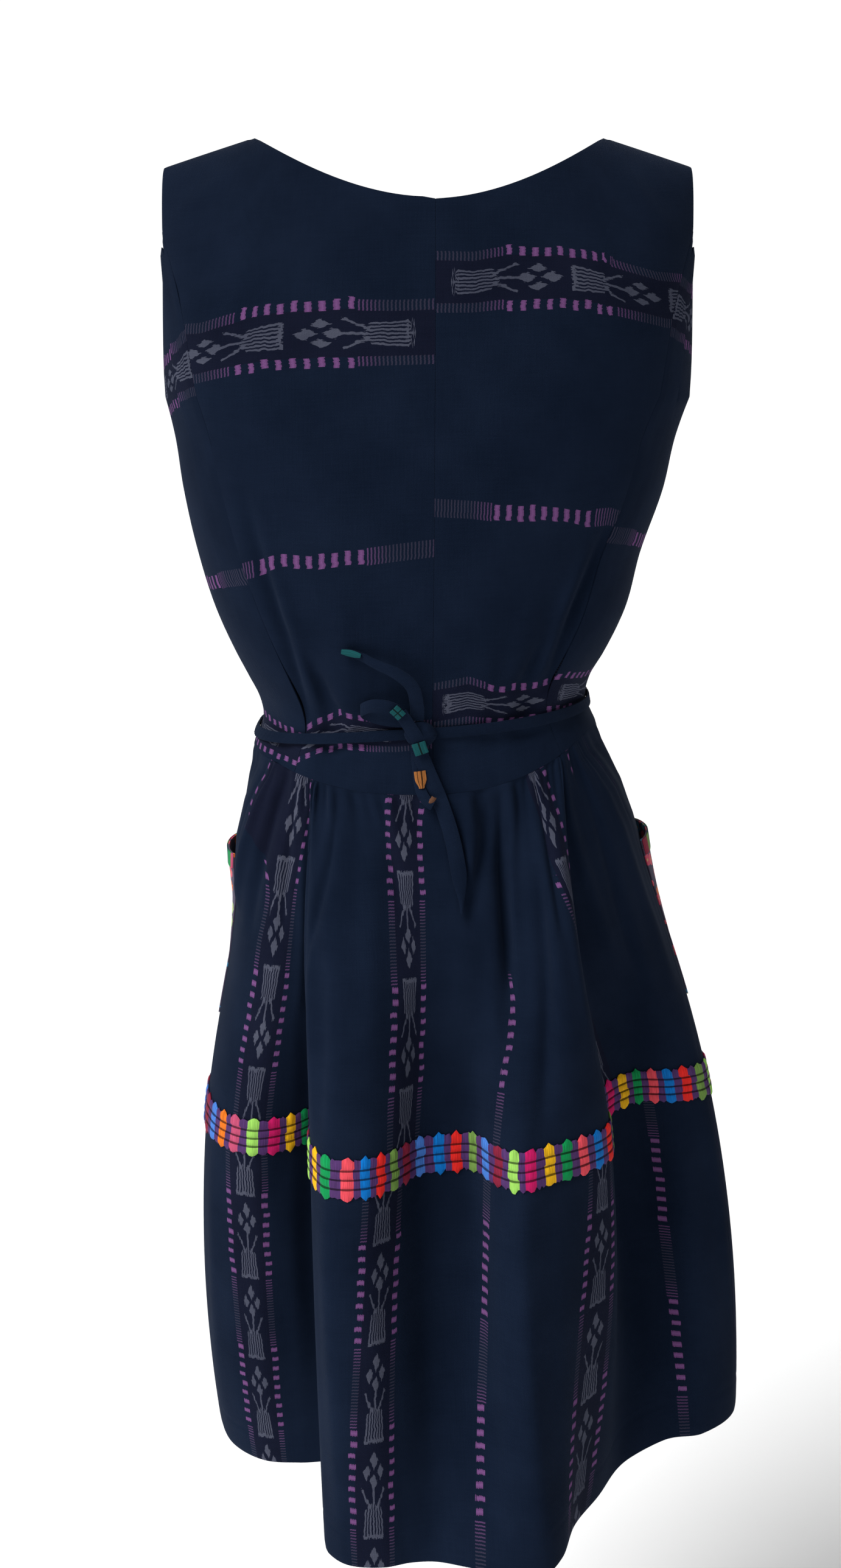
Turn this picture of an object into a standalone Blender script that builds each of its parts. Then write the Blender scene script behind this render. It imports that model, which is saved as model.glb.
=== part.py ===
"""Handwoven sleeveless dress: a seamed bodice, a gathered skirt in two tiers and a tied waist.

Metres, +Z up. The front faces -Y and the back faces +Y. +X is the wearer's left. The origin is
midway between the shoulders, at the height where they carry the dress.
Every panel is a grid moved onto one shared surface and thickened to the wall of the cloth.
"""

import math

import bmesh
import bpy
import numpy as np

WALL = 0.0016
SEAM_GAP = 0.0003
SEAM_EASE = 0.0002
SKIN = WALL + SEAM_GAP

UNDERARM_Z = -0.167
SHOULDER_TIP = 0.187
SHOULDER_TIP_Z = -0.010
SHOULDER_SLOPE = 0.30
SHOULDER_SPREAD = 1.025
NECK_HALF_WIDTH = 0.124
NECK_BACK_Z = -0.0405
NECK_BACK_CURVE = 1.9
NECK_FRONT_Z = -0.085
NECK_FRONT_CURVE = 2.2
SECTION_POWER = 2.5

ARMHOLE_REACH_BACK = 18.0
ARMHOLE_REACH_FRONT = 24.0
SIDE_SEAM_MEETS_ARMHOLE = 1.5
FRONT_SEAM_TOP = 0.17
FRONT_SEAM_DEG = 90 + ARMHOLE_REACH_FRONT * math.sin(math.pi * FRONT_SEAM_TOP) ** 0.5

HIP_Z = -0.550
RANDA_Z = -0.712
HEM_Z = -0.997
RANDA_HEIGHT = 0.043
RANDA_THICKNESS = 0.0015
CLOTH_HALF = 0.66

GATHERS_A_SIDE = 13
GATHER_DEPTH = 0.0028
GATHER_LENGTH = 0.085
GATHER_SWELLS_EARLY = 0.45
GATHER_FADES_TO_SEAM = 0.5
HIP_LIFT_SHARE = 0.5
HEM_LIFT_SHARE = 0.9

TIE_WIDTH = 0.0095
TIE_THICKNESS = 0.0018
TIE_Z_CENTRE = -0.398
TIE_TILT = 0.012
KNOT_X = 0.006
KNOT_SIZE = (0.0115, 0.0060, 0.0095)
STRAP_END_X = 0.0096
STRAP_STEPS = 22
STRAP_OUT = (WALL + TIE_THICKNESS) / 2 + 0.0011
STEPS_A_LEG = 4
TIE_CROSSES_SEAM_Z = -0.4425

POCKET_WIDTH = 0.130
POCKET_TOP = 0.058
POCKET_HEIGHT = 0.140
POCKET_BULGE = 0.015
POCKET_MOUTH_SHARE = 0.75
POCKET_CLOSES = 0.8
POCKET_ROUND = 0.7
POCKET_FROM_SEAM = 0.004
POCKET_COLUMNS = 8
POCKET_ROWS = 8
TRIM_HEIGHT = 0.012
TRIM_THICKNESS = 0.0012

# name, height, half width to the left and right, depth to the back and front
SECTIONS = [
    ("skirt top", -0.460, 0.145, 0.150, 0.100, 0.099),
    ("waist seam", -0.435, 0.137, 0.141, 0.098, 0.097),
    ("below the tie", -0.418, 0.131, 0.134, 0.096, 0.094),
    ("tie, left", -0.400, 0.1245, 0.124, 0.0945, 0.092),
    ("tie, right", -0.385, 0.127, 0.118, 0.0965, 0.093),
    ("blouse", -0.368, 0.135, 0.121, 0.101, 0.097),
    ("blouse top", -0.350, 0.144, 0.131, 0.105, 0.102),
    ("ribs", -0.320, 0.157, 0.145, 0.108, 0.110),
    ("chest", -0.276, 0.170, 0.156, 0.109, 0.118),
    ("bust", -0.231, 0.179, 0.171, 0.109, 0.121),
    ("blades", -0.193, 0.184, 0.179, 0.108, 0.117),
    ("underarm", -0.167, 0.190, 0.188, 0.106, 0.110),
]

# degrees round from the centre back, height of the waist seam there
WAIST_SEAM = [
    (-118.0, -0.409),
    (-62.0, -0.406),
    (0.0, -0.442),
    (60.0, -0.424),
    (118.0, -0.421),
    (180.0, -0.418),
]

# height share, degrees of the side-back seam, up to where it meets the armhole
SIDE_BACK_SEAM = [
    (0.0, 41.0),
    (0.2, 41.0),
    (0.6, 47.0),
    (1.0, 54.0),
    (1.3, 62.0),
    (1.5, 72.0),
]

FOLD_END = 0.020

# name, side, x and z at the tie, x and z where it fades, depth, half width
BODICE_FOLDS = [
    ("left deep", 1, 0.070, -0.408, 0.088, -0.285, 0.0070, 0.0100),
    ("left outer", 1, 0.107, -0.412, 0.136, -0.335, 0.0050, 0.0090),
    ("left inner", 1, 0.046, -0.402, 0.056, -0.300, 0.0030, 0.0090),
    ("right deep", -1, 0.066, -0.390, 0.096, -0.275, 0.0065, 0.0100),
    ("right outer", -1, 0.102, -0.386, 0.130, -0.325, 0.0045, 0.0090),
    ("right inner", -1, 0.044, -0.395, 0.060, -0.290, 0.0030, 0.0090),
]

# name, place along the cloth, degrees at the waist, then x and y at the hip, the randa and the
# hem, and how far this part hangs higher
BACK_FOLDS = [
    ("side seam left", 0.000, 58, 0.150, 0.023, 0.174, 0.030, 0.175, 0.010, 0.000),
    ("left turn", 0.045, 50, 0.137, 0.060, 0.157, 0.063, 0.159, 0.052, -0.003),
    ("left face", 0.080, 43, 0.116, 0.079, 0.132, 0.076, 0.131, 0.072, -0.004),
    ("left inner", 0.110, 37, 0.098, 0.083, 0.107, 0.069, 0.102, 0.076, -0.003),
    ("left valley", 0.140, 33, 0.087, 0.084, 0.090, 0.060, 0.074, 0.079, 0.000),
    ("left edge", 0.225, 29, 0.082, 0.110, 0.083, 0.130, 0.073, 0.183, 0.000),
    ("left crest", 0.245, 26, 0.070, 0.119, 0.073, 0.148, 0.060, 0.194, 0.000),
    ("middle 1", 0.272, 20, 0.046, 0.120, 0.046, 0.150, 0.033, 0.197, 0.000),
    ("middle 2", 0.295, 13, 0.023, 0.116, 0.026, 0.137, 0.013, 0.192, 0.000),
    ("middle 3", 0.318, 6, 0.006, 0.112, 0.008, 0.116, -0.006, 0.191, 0.000),
    ("middle valley", 0.340, 0, -0.012, 0.110, -0.013, 0.109, -0.026, 0.196, 0.000),
    ("middle 4", 0.362, -6, -0.030, 0.110, -0.034, 0.108, -0.047, 0.202, 0.000),
    ("middle 5", 0.386, -12, -0.048, 0.106, -0.050, 0.130, -0.067, 0.205, 0.000),
    ("middle crest", 0.406, -17, -0.061, 0.103, -0.066, 0.140, -0.085, 0.203, 0.000),
    ("right slope 1", 0.430, -23, -0.076, 0.112, -0.089, 0.132, -0.098, 0.189, 0.002),
    ("right slope 2", 0.460, -29, -0.092, 0.119, -0.113, 0.120, -0.110, 0.156, 0.003),
    ("right edge", 0.490, -37, -0.105, 0.112, -0.133, 0.102, -0.129, 0.128, 0.004),
    ("right valley", 0.552, -41, -0.110, 0.078, -0.140, 0.038, -0.163, 0.084, 0.010),
    ("right face 1", 0.578, -45, -0.130, 0.063, -0.160, 0.026, -0.190, 0.070, 0.015),
    ("right face 2", 0.618, -50, -0.156, 0.043, -0.194, 0.026, -0.223, 0.063, 0.0165),
]

# The front hangs in even soft folds: centre x, half width and depth of each level, and the wave
FRONT_FOLDS = 12
FRONT_LEVELS = [
    ("hip", -0.012, 0.163, 0.113, 0.003),
    ("randa", -0.024, 0.196, 0.126, 0.006),
    ("hem", -0.040, 0.211, 0.160, 0.009),
]
FRONT_SEAM_RIGHT = ("side seam right", 0.660, -57, -0.173, 0.012, -0.221, 0.013, -0.254, 0.032, 0.0165)

# Routes of the tie's loop and ends: x, height, distance out from the cloth
TIE_ENDS = {
    "tie_loop": [
        (0.0162, -0.3882, 0.0056),
        (0.0300, -0.3875, 0.0048),
        (0.0420, -0.3850, 0.0044),
        (0.0475, -0.3820, 0.0075),
        (0.0420, -0.3775, 0.0115),
        (0.0320, -0.3765, 0.0130),
        (0.0150, -0.3848, 0.0110),
    ],
    "tie_end_upper": [
        (0.0085, -0.3880, 0.0064),
        (0.0085, -0.3760, 0.0085),
        (0.0120, -0.3620, 0.0110),
        (0.0220, -0.3530, 0.0120),
        (0.0360, -0.3480, 0.0090),
        (0.0500, -0.3440, 0.0060),
        (0.0590, -0.3410, 0.0050),
    ],
    "tie_end_short": [
        (0.0090, -0.4079, 0.0056),
        (0.0085, -0.4160, 0.0042),
        (0.0075, -0.4260, 0.0036),
        (0.0065, -0.4350, 0.0045),
        (0.0030, -0.4430, 0.0075),
        (-0.0030, -0.4480, 0.0080),
    ],
    "tie_end_long": [
        (-0.0020, -0.4056, 0.0056),
        (-0.0050, -0.4150, 0.0042),
        (-0.0090, -0.4270, 0.0036),
        (-0.0150, -0.4480, 0.0040),
        (-0.0200, -0.4700, 0.0036),
        (-0.0230, -0.4950, 0.0034),
        (-0.0235, -0.5260, 0.0034),
    ],
}

UPPER_ROWS = [0.0, 0.012, 0.030, 0.055, 0.090, 0.140, 0.195]
LOWER_ROWS = [0.345, 0.397, 0.450, 0.505]
BODICE_ROWS_LOW = [0.0, 0.05, 0.10, 0.15, 0.20, 0.26, 0.33, 0.42, 0.52, 0.64, 0.76, 0.88]
BODICE_ROWS_TOP = [0.0, 0.17, 0.34, 0.50, 0.63, 0.76, 0.86, 0.93, 0.975, 1.0]

BACK_COLUMNS = 12
SIDE_COLUMNS = 8
FRONT_COLUMNS = 20
SKIRT_BACK_COLUMNS = 54
SKIRT_FRONT_COLUMNS = 36
SETTLING_PASSES = 24
NORMAL_STEP = 0.0015
SEARCH_START = (0.33, 0.05)
SEARCH_STEP = 0.002
SEARCH_PASSES = 8

INDIGO = (0.012, 0.018, 0.040)
CRIMSON = (0.35, 0.03, 0.09)
TEAL = (0.01, 0.16, 0.13)
CORAL = (0.42, 0.09, 0.06)


def slopes(knots, points):
    """Slope at each knot from its two neighbours, and from the nearest three at the ends."""
    step = np.diff(knots)
    rise = np.diff(points, axis=0) / step[:, None]
    inner = (rise[:-1] * step[1:, None] + rise[1:] * step[:-1, None]) / (step[1:] + step[:-1])[:, None]
    return np.vstack([2 * rise[0] - inner[0], inner, 2 * rise[-1] - inner[-1]])


def smooth_curve(knots, points, at):
    """Smooth curve through the points, read at the places given."""
    knots = np.asarray(knots, float)
    points = np.asarray(points, float).reshape(len(knots), -1)
    slope = slopes(knots, points)
    at = np.clip(np.atleast_1d(np.asarray(at, float)), knots[0], knots[-1])
    i = np.clip(np.searchsorted(knots, at, side="right") - 1, 0, len(knots) - 2)
    span = (knots[i + 1] - knots[i])[:, None]
    t = ((at - knots[i])[:, None]) / span
    return (
        (2 * t**3 - 3 * t**2 + 1) * points[i]
        + (t**3 - 2 * t**2 + t) * span * slope[i]
        + (3 * t**2 - 2 * t**3) * points[i + 1]
        + (t**3 - t**2) * span * slope[i + 1]
    )


def closed_curve(knots, points, length, at):
    """The same curve on a closed loop of this length."""
    knots = np.asarray(knots, float)
    points = np.asarray(points, float).reshape(len(knots), -1)
    wrap = 3
    long_knots = np.concatenate([knots[-wrap:] - length, knots, knots[:wrap] + length])
    long_points = np.vstack([points[-wrap:], points, points[:wrap]])
    return smooth_curve(long_knots, long_points, np.mod(np.atleast_1d(at) - knots[0], length) + knots[0])


def ease(t):
    t = min(max(t, 0.0), 1.0)
    return t * t * (3 - 2 * t)


def waist_seam_z(deg):
    degrees = [row[0] for row in WAIST_SEAM]
    heights = [row[1] for row in WAIST_SEAM]
    return float(closed_curve(degrees, heights, 360.0, deg)[0, 0])


def section(z):
    """Half widths and depths of the bodice at this height."""
    rows = np.array([row[1:] for row in SECTIONS])
    return smooth_curve(rows[:, 0], rows[:, 1:], z)[0]


def ring_point(deg, z):
    """A point on the bodice's rounded section at this height, before its folds."""
    left, right, back, front = section(z)
    angle = math.radians(deg)
    across, along = math.sin(angle), math.cos(angle)
    power = 2 / SECTION_POWER
    x = math.copysign(abs(across) ** power, across) * (left if across > 0 else right)
    y = math.copysign(abs(along) ** power, along) * (back if along > 0 else front)
    return np.array([x, y, z])


def fold_depth(x, z):
    """How far the folds that run into the tie sink at this place on the back."""
    depth = 0.0
    for _name, side, x_low, z_low, x_high, z_high, deepest, half in BODICE_FOLDS:
        up = (z - z_low) / (z_high - z_low)
        if x * side <= 0 or up > 1:
            continue
        middle = x_low + (x_high - x_low) * max(up, 0.0)
        fade = 1 - ease(up) if up > 0 else 1 - ease(-up * (z_high - z_low) / FOLD_END)
        depth += deepest * fade * math.exp(-(((abs(x) - middle) / half) ** 2))
    return depth


def shoulder_z(x):
    return SHOULDER_TIP_Z + (SHOULDER_TIP - min(abs(x), SHOULDER_TIP)) * SHOULDER_SLOPE


def bodice_point(deg, h):
    """The bodice: h runs 0 to 1 from the waist seam to the underarm, 1 to 2 over the shoulder."""
    if h <= 1:
        seam = waist_seam_z(deg)
        z = seam + (UNDERARM_Z - seam) * h
        point = ring_point(deg, z)
        if point[1] > 0:
            point[1] -= fold_depth(point[0], z)
        return point
    point = ring_point(deg, UNDERARM_Z)
    lean = math.radians(90 * (h - 1))
    point[0] *= 1 + (SHOULDER_SPREAD - 1) * math.sin(lean)
    point[1] *= math.cos(lean)
    point[2] += (shoulder_z(point[0]) - UNDERARM_Z) * math.sin(lean)
    return point


def armhole_deg(h, reach):
    """Degrees round to the armhole's edge at this height share, straight up from its middle."""
    up = min(max(h - 1, 0.0), 0.5)
    return 90 - reach * math.sin(math.pi * up) ** 0.5


def side_back_deg(h):
    rows = np.array(SIDE_BACK_SEAM)
    return float(smooth_curve(rows[:, 0], rows[:, 1], h)[0, 0])


def back_edge_deg(h):
    return side_back_deg(h) if h <= SIDE_SEAM_MEETS_ARMHOLE else armhole_deg(h, ARMHOLE_REACH_BACK)


def top_share(deg, low_z, curve):
    """Height share of the neckline here, or of the shoulder seam beyond it."""
    x = abs(ring_point(deg, UNDERARM_Z)[0]) * SHOULDER_SPREAD
    if x >= NECK_HALF_WIDTH:
        return 2.0
    z = low_z + (shoulder_z(NECK_HALF_WIDTH) - low_z) * (x / NECK_HALF_WIDTH) ** curve
    return 1 + math.degrees(math.asin((z - UNDERARM_Z) / (shoulder_z(x) - UNDERARM_Z))) / 90


def skirt_rows():
    """Every fold of the skirt, all the way round: the back's from their table, then the front's."""
    rows = [row[1:] for row in BACK_FOLDS] + [FRONT_SEAM_RIGHT[1:]]
    waist_from, waist_to = FRONT_SEAM_RIGHT[2], BACK_FOLDS[0][2] - 360
    lift = FRONT_SEAM_RIGHT[-1]
    for k in range(1, FRONT_FOLDS):
        share = k / FRONT_FOLDS
        angle = math.radians(-90 - 180 * share)
        wave = 1 if k % 2 else -1
        row = [CLOTH_HALF * (1 + share), waist_from + (waist_to - waist_from) * share]
        for _name, centre, half, depth, amount in FRONT_LEVELS:
            row += [
                centre + (half + wave * amount) * math.sin(angle),
                (depth + wave * amount) * math.cos(angle),
            ]
        rows.append([*row, lift * (1 - ease(share))])
    return np.array(rows, float)


ROWS = skirt_rows()
LEVELS = [0.0, 0.115, 0.275, 0.560]


def skirt_levels(s):
    """The waist, hip, randa and hem points at this place along the cloth."""
    length = 2 * CLOTH_HALF
    plan = closed_curve(ROWS[:, 0], ROWS[:, 2:], length, s)[0]
    around = np.mod(s, length)
    knots = np.append(ROWS[:, 0], length)
    deg = float(smooth_curve(knots, np.append(ROWS[:, 1], ROWS[0, 1] - 360), around)[0, 0])
    lift = plan[6]
    return np.array(
        [
            ring_point(deg, waist_seam_z(deg)),
            [plan[0], plan[1], HIP_Z + lift * HIP_LIFT_SHARE],
            [plan[2], plan[3], RANDA_Z + lift],
            [plan[4], plan[5], HEM_Z + lift * HEM_LIFT_SHARE],
        ]
    )


def skirt_point(s, down):
    """The skirt: s along the cloth from the left side seam, down from the waist seam."""
    point = smooth_curve(LEVELS, skirt_levels(s), down)[0]
    if 0 < down < GATHER_LENGTH:
        share = down / GATHER_LENGTH
        swell = math.sin(math.pi * share**GATHER_SWELLS_EARLY) * (1 - share)
        wave = math.cos(2 * math.pi * GATHERS_A_SIDE * s / CLOTH_HALF)
        wave *= abs(math.sin(math.pi * s / CLOTH_HALF)) ** GATHER_FADES_TO_SEAM
        outward = np.array([point[0], point[1], 0.0])
        point = point + outward / np.linalg.norm(outward) * GATHER_DEPTH * swell * wave
    return point


def skirt_normal(s, down):
    """Outward normal of the skirt, which keeps its side through the folds."""
    along = skirt_point(s + NORMAL_STEP, down) - skirt_point(s - NORMAL_STEP, down)
    fall = skirt_point(s, down + NORMAL_STEP) - skirt_point(s, max(down - NORMAL_STEP, 0.0))
    normal = np.cross(along, fall)
    return normal / np.linalg.norm(normal) * SKIRT_SIDE


def shrink_edges(points, gap):
    """Draws each edge of a grid of points back by half the gap between two pieces."""
    moved = points.copy()
    for edge, inner in ((0, 1), (-1, -2)):
        step = points[inner] - points[edge]
        moved[edge] += step / np.linalg.norm(step, axis=-1, keepdims=True) * gap / 2
    for edge, inner in ((0, 1), (-1, -2)):
        step = points[:, inner] - points[:, edge]
        moved[:, edge] += step / np.linalg.norm(step, axis=-1, keepdims=True) * gap / 2
    return moved


def plain_material(name, colour, roughness=0.85):
    material = bpy.data.materials.new(name)
    material.use_nodes = True
    shader = material.node_tree.nodes["Principled BSDF"]
    shader.inputs["Base Color"].default_value = (*colour, 1.0)
    shader.inputs["Roughness"].default_value = roughness
    shader.inputs["Metallic"].default_value = 0.0
    return material


def sheet(name, points, thickness, colour, collection):
    """One cloth piece: a flat grid moved onto the points, then thickened both ways."""
    across, down = points.shape[0] - 1, points.shape[1] - 1
    bm = bmesh.new()
    bmesh.ops.create_grid(bm, x_segments=across, y_segments=down, size=0.5)
    for vert in bm.verts:
        i = round((vert.co.x + 0.5) * across)
        j = round((vert.co.y + 0.5) * down)
        vert.co = points[i, j]
    bmesh.ops.triangulate(bm, faces=bm.faces, quad_method="SHORT_EDGE")
    mesh = bpy.data.meshes.new(name)
    bm.to_mesh(mesh)
    bm.free()
    mesh.shade_smooth()
    piece = bpy.data.objects.new(name, mesh)
    piece.data.materials.append(plain_material(name, colour))
    solidify = piece.modifiers.new("wall", "SOLIDIFY")
    solidify.thickness = thickness
    solidify.offset = 0.0
    collection.objects.link(piece)
    return piece


def upper_share(row, deg, neck):
    """Height share of a row above the underarm, squeezed under the neckline or the shoulder."""
    return row if row <= 1 else 1 + (row - 1) * (top_share(deg, *neck) - 1)


def back_panel(name, side, collection):
    """Half of the back, from the centre-back seam to the side-back seam and the armhole."""
    rows = BODICE_ROWS_LOW + [1 + share for share in BODICE_ROWS_TOP]
    neck = (NECK_BACK_Z, NECK_BACK_CURVE)
    points = np.zeros((BACK_COLUMNS + 1, len(rows), 3))
    for i in range(BACK_COLUMNS + 1):
        for j, row in enumerate(rows):
            h = row
            for _pass in range(SETTLING_PASSES):
                deg = back_edge_deg(h) * i / BACK_COLUMNS
                h = upper_share(row, deg, neck)
            points[i, j] = bodice_point(side * deg, h)
    return sheet(name, shrink_edges(points, SEAM_GAP + SEAM_EASE), WALL, INDIGO, collection)


def armhole_share(deg):
    """Height share of the armhole's edge here; 90 degrees is the side, more is the front."""
    reach = ARMHOLE_REACH_BACK if deg <= 90 else ARMHOLE_REACH_FRONT
    away = min(abs(90 - deg) / reach, 1.0)
    return 1 + math.asin(away**2) / math.pi


def side_rows(top, share):
    """Height shares up one line of the side panel, which meet the rows of both its neighbours."""
    last = BODICE_ROWS_LOW[-1]
    at_back = np.array([1 + row for row in BODICE_ROWS_TOP if 1 + row <= SIDE_SEAM_MEETS_ARMHOLE])
    at_front = np.array([last + (1 - last) / 3, last + (1 - last) * 2 / 3, 1.0, 1 + FRONT_SEAM_TOP])
    at_back = (at_back - last) / (at_back[-1] - last)
    at_front = (at_front - last) / (at_front[-1] - last)
    upper = last + (top - last) * (at_back + (at_front - at_back) * share)
    return BODICE_ROWS_LOW + list(upper)


def side_panel(name, side, collection):
    """The panel under the arm, from the side-back seam to the seam with the front."""
    lines = []
    meet = side_back_deg(SIDE_SEAM_MEETS_ARMHOLE)
    for i in range(SIDE_COLUMNS + 1):
        share = i / SIDE_COLUMNS
        top = armhole_share(meet + (FRONT_SEAM_DEG - meet) * share)
        for _pass in range(SETTLING_PASSES):
            inner = side_back_deg(top)
            top = (top + armhole_share(inner + (FRONT_SEAM_DEG - inner) * share)) / 2
        line = []
        for h in side_rows(top, share):
            inner = side_back_deg(h)
            line.append(bodice_point(side * (inner + (FRONT_SEAM_DEG - inner) * share), h))
        lines.append(line)
    points = shrink_edges(np.array(lines), SEAM_GAP + SEAM_EASE)
    return sheet(name, points, WALL, INDIGO, collection)


def front_panel(collection):
    """The whole front, cut in one."""
    rows = BODICE_ROWS_LOW + [1 + share for share in BODICE_ROWS_TOP]
    neck = (NECK_FRONT_Z, NECK_FRONT_CURVE)
    points = np.zeros((FRONT_COLUMNS + 1, len(rows), 3))
    for i in range(FRONT_COLUMNS + 1):
        for j, row in enumerate(rows):
            h = row
            for _pass in range(SETTLING_PASSES):
                edge = min(180 - FRONT_SEAM_DEG, armhole_deg(h, ARMHOLE_REACH_FRONT))
                deg = edge * (2 * i / FRONT_COLUMNS - 1)
                h = upper_share(row, deg, neck)
            points[i, j] = bodice_point(180 - deg, h)
    return sheet("front", shrink_edges(points, SEAM_GAP + SEAM_EASE), WALL, INDIGO, collection)


def skirt_panel(name, places, heights, out, thickness, colour, collection):
    points = np.array(
        [[skirt_point(s, d) + skirt_normal(s, d) * out for d in heights] for s in places]
    )
    return sheet(name, shrink_edges(points, SEAM_GAP + SEAM_EASE), thickness, colour, collection)


def side_of_skirt():
    """Sign that turns the cross product outwards, read at the middle of the back."""
    s, d = SEARCH_START
    along = skirt_point(s + NORMAL_STEP, d) - skirt_point(s - NORMAL_STEP, d)
    fall = skirt_point(s, d + NORMAL_STEP) - skirt_point(s, d - NORMAL_STEP)
    return 1.0 if np.cross(along, fall)[1] > 0 else -1.0


def pocket(name, trim_name, start, collection):
    """A patch pocket on the front beside a side seam, its mouth standing open, and its trim."""

    def place(q, r, out):
        s = start + POCKET_WIDTH * q
        d = POCKET_TOP + POCKET_HEIGHT * r
        mouth = POCKET_MOUTH_SHARE * (1 - r) ** POCKET_CLOSES
        body = (1 - POCKET_MOUTH_SHARE) * math.sin(math.pi * r)
        bulge = POCKET_BULGE * math.sin(math.pi * q) ** POCKET_ROUND * (mouth + body)
        return skirt_point(s, d) + skirt_normal(s, d) * (SKIN + SEAM_EASE + bulge + out)

    across = np.linspace(0, 1, POCKET_COLUMNS + 1)
    points = np.array([[place(q, r, 0.0) for r in np.linspace(0, 1, POCKET_ROWS + 1)] for q in across])
    sheet(name, points, WALL, CORAL, collection)
    out = (WALL + TRIM_THICKNESS) / 2 + SEAM_GAP + SEAM_EASE
    points = np.array([[place(q, r, out) for r in (0.0, TRIM_HEIGHT / POCKET_HEIGHT)] for q in across])
    sheet(trim_name, points, TRIM_THICKNESS, TEAL, collection)


def tie_z(deg):
    return TIE_Z_CENTRE - TIE_TILT * math.sin(math.radians(deg))


def strap(name, from_deg, side, collection):
    """One waist strap, lying on the bodice from its front side seam to the knot."""
    knot_edge = KNOT_X + side * STRAP_END_X
    left, right, _back, _front = section(TIE_Z_CENTRE)
    share = abs(knot_edge) / (left if knot_edge > 0 else right)
    to_deg = math.copysign(math.degrees(math.asin(share ** (SECTION_POWER / 2))), knot_edge)
    points = np.zeros((STRAP_STEPS + 1, 2, 3))
    for i in range(STRAP_STEPS + 1):
        deg = from_deg + (to_deg - from_deg) * i / STRAP_STEPS
        for j, edge in enumerate((0.5, -0.5)):
            point = ring_point(deg, tie_z(deg) + edge * TIE_WIDTH)
            away = point * (1, 1, 0)
            points[i, j] = point + away / np.linalg.norm(away) * STRAP_OUT
    return sheet(name, points, TIE_THICKNESS, INDIGO, collection)


def bodice_y(x, z):
    """How far back the bodice lies at this place on the back."""
    left, right, back, _front = section(z)
    share = abs(x) / (left if x > 0 else right)
    return back * (1 - share**SECTION_POWER) ** (1 / SECTION_POWER) - fold_depth(x, z)


def skirt_y(x, z):
    """How far back the skirt lies at this place, found by a few Newton steps on the surface."""
    s, down = SEARCH_START
    for _pass in range(SEARCH_PASSES):
        here = skirt_point(s, down)
        by_s = (skirt_point(s + SEARCH_STEP, down) - here) / SEARCH_STEP
        by_down = (skirt_point(s, down + SEARCH_STEP) - here) / SEARCH_STEP
        slope = np.array([[by_s[0], by_down[0]], [by_s[2], by_down[2]]])
        move = np.linalg.solve(slope, [x - here[0], z - here[2]])
        s, down = s + move[0], max(down + move[1], SEARCH_STEP)
    return skirt_point(s, down)[1]


def cloth_y(x, z):
    return skirt_y(x, z) if z < TIE_CROSSES_SEAM_Z else bodice_y(x, z)


def tie_end(name, route, upright, collection):
    """A flat end of the tie on its route, its width across the run, or upright as in the loop."""
    route = np.array(route, float)
    steps = STEPS_A_LEG * (len(route) - 1)
    knots = np.concatenate([[0], np.cumsum(np.linalg.norm(np.diff(route[:, :2], axis=0), axis=1))])
    line = smooth_curve(knots, route, np.linspace(0, knots[-1], steps + 1))
    points = np.zeros((steps + 1, 2, 3))
    for i in range(steps + 1):
        before, after = line[max(i - 1, 0)], line[min(i + 1, steps)]
        run = np.array([after[0] - before[0], after[1] - before[1]])
        across = np.array([0.0, 1.0]) if upright else np.array([-run[1], run[0]]) / np.linalg.norm(run)
        for j, edge in enumerate((0.5, -0.5)):
            x, z = line[i, :2] + across * edge * TIE_WIDTH
            points[i, j] = (x, cloth_y(x, z) + line[i, 2], z)
    return sheet(name, points, TIE_THICKNESS, INDIGO, collection)


def knot(collection):
    """The tied knot, a soft pressed lump just clear of the bodice."""
    bm = bmesh.new()
    bmesh.ops.create_uvsphere(bm, u_segments=16, v_segments=10, radius=1.0)
    bmesh.ops.scale(bm, vec=KNOT_SIZE, verts=bm.verts)
    y = bodice_y(KNOT_X, TIE_Z_CENTRE) + WALL / 2 + SEAM_GAP + KNOT_SIZE[1]
    bmesh.ops.translate(bm, vec=(KNOT_X, y, TIE_Z_CENTRE), verts=bm.verts)
    mesh = bpy.data.meshes.new("tie_knot")
    bm.to_mesh(mesh)
    bm.free()
    mesh.shade_smooth()
    mesh.materials.append(plain_material("tie_knot", INDIGO))
    piece = bpy.data.objects.new("tie_knot", mesh)
    collection.objects.link(piece)


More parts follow.
